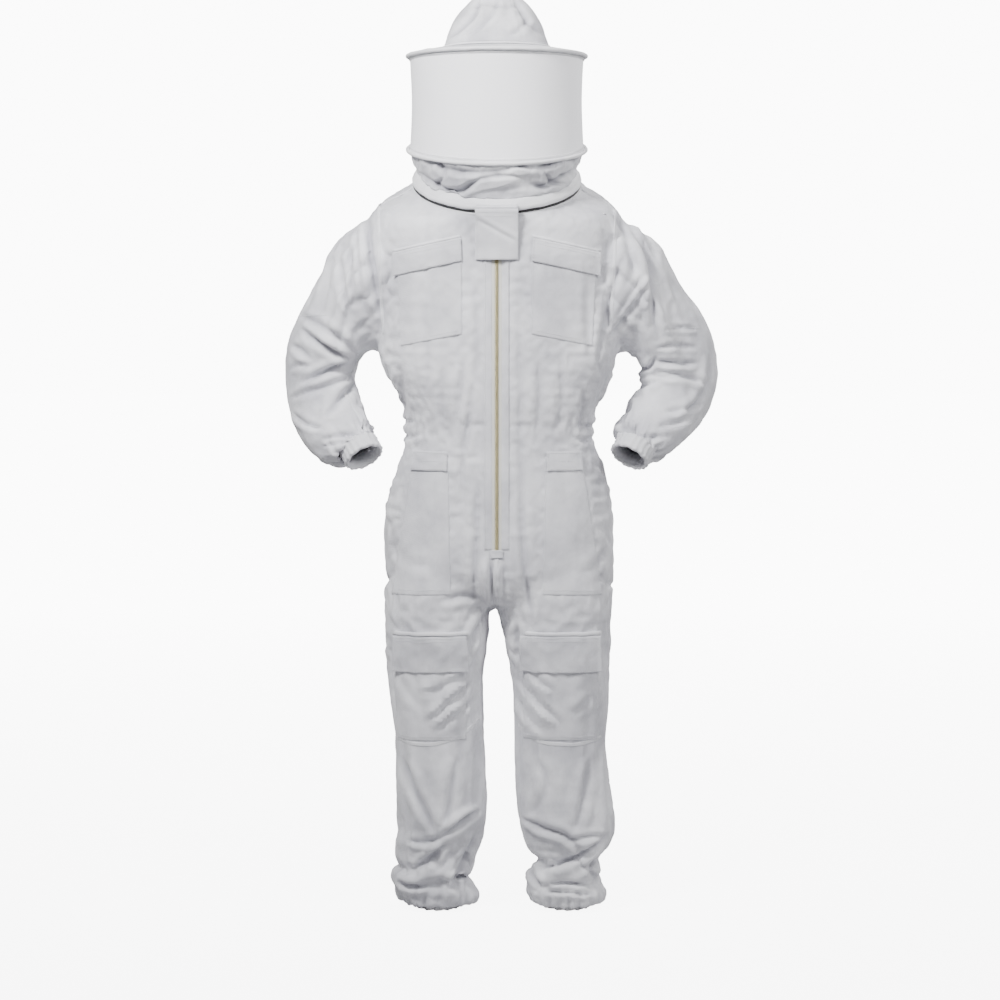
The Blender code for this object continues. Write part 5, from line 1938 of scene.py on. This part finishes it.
def make_studio():
    """A plain pale floor and backdrop, soft light from the upper left, and the camera in front."""
    size = 30.0
    item = mesh_object("floor", [(-size, -size, -0.0015), (size, -size, -0.0015), (size, size, -0.0015),
                                 (-size, size, -0.0015)], [(0, 1, 2, 3)], smooth=False)
    material, tree, shader = new_material("floor")
    shader.inputs["Base Color"].default_value = (0.45, 0.45, 0.46, 1)
    shader.inputs["Roughness"].default_value = 0.9
    path = node(tree, "ShaderNodeLightPath")
    spot = node(tree, "ShaderNodeTexCoord")
    axes = node(tree, "ShaderNodeSeparateXYZ")
    tree.links.new(spot.outputs["Object"], axes.inputs[0])
    far = node(tree, "ShaderNodeMapRange")
    far.inputs["From Min"].default_value = -1.5
    far.inputs["From Max"].default_value = 5.0
    far.inputs["To Min"].default_value = BACKDROP * 0.62
    far.inputs["To Max"].default_value = BACKDROP
    tree.links.new(axes.outputs["Y"], far.inputs["Value"])
    seen = node(tree, "ShaderNodeMath", operation="MULTIPLY")
    tree.links.new(far.outputs["Result"], seen.inputs[0])
    tree.links.new(path.outputs["Is Camera Ray"], seen.inputs[1])
    shader.inputs["Emission Color"].default_value = (1, 1, 1, 1)
    tree.links.new(seen.outputs["Value"], shader.inputs["Emission Strength"])
    item.data.materials.append(material)
    add_light("key", (-0.85, -1.35, 2.40), 0.5, 72, (0, 0, 1.3))
    add_light("fill", (1.9, -2.0, 2.7), 1.2, 66, (0, 0, 1.3))
    add_light("rim", (1.6, 1.8, 2.6), 1.2, 45, (0, 0, 1.1))
    world = bpy.data.worlds.new("studio")
    bpy.context.scene.world = world
    world.use_nodes = True
    tree = world.node_tree
    back = tree.nodes["Background"]
    back.inputs[0].default_value = (1, 1, 1, 1)
    back.inputs[1].default_value = 0.27
    white = node(tree, "ShaderNodeBackground", Strength=BACKDROP)
    white.inputs[0].default_value = (1, 1, 1, 1)
    path = node(tree, "ShaderNodeLightPath")
    pick = node(tree, "ShaderNodeMixShader")
    tree.links.new(path.outputs["Is Camera Ray"], pick.inputs[0])
    tree.links.new(back.outputs[0], pick.inputs[1])
    tree.links.new(white.outputs[0], pick.inputs[2])
    tree.links.new(pick.outputs[0], tree.nodes["World Output"].inputs["Surface"])
    data = bpy.data.cameras.new("camera")
    data.lens = 94.7
    camera = bpy.data.objects.new("camera", data)
    bpy.context.scene.collection.objects.link(camera)
    camera.location = (0.006, -5.0, 1.15)
    camera.rotation_euler = (Vector((0.006, 0, 0.783)) - camera.location).to_track_quat("-Z", "Y").to_euler()
    bpy.context.scene.camera = camera


def visual_box():
    """The lowest and highest corner of everything that is shown, apart from the stage."""
    bpy.context.view_layer.update()
    low, high = Vector((9, 9, 9)), Vector((-9, -9, -9))
    for item in bpy.data.objects:
        if item.type != "MESH" or item.name == "floor" or "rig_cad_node" in item:
            continue
        for corner in coordinates(item.data):
            place = item.matrix_world @ Vector(corner)
            low = Vector(map(min, low, place))
            high = Vector(map(max, high, place))
    return low, high


make_studio()
seen_low, seen_high = visual_box()
print("ALL", time.time() - t0)
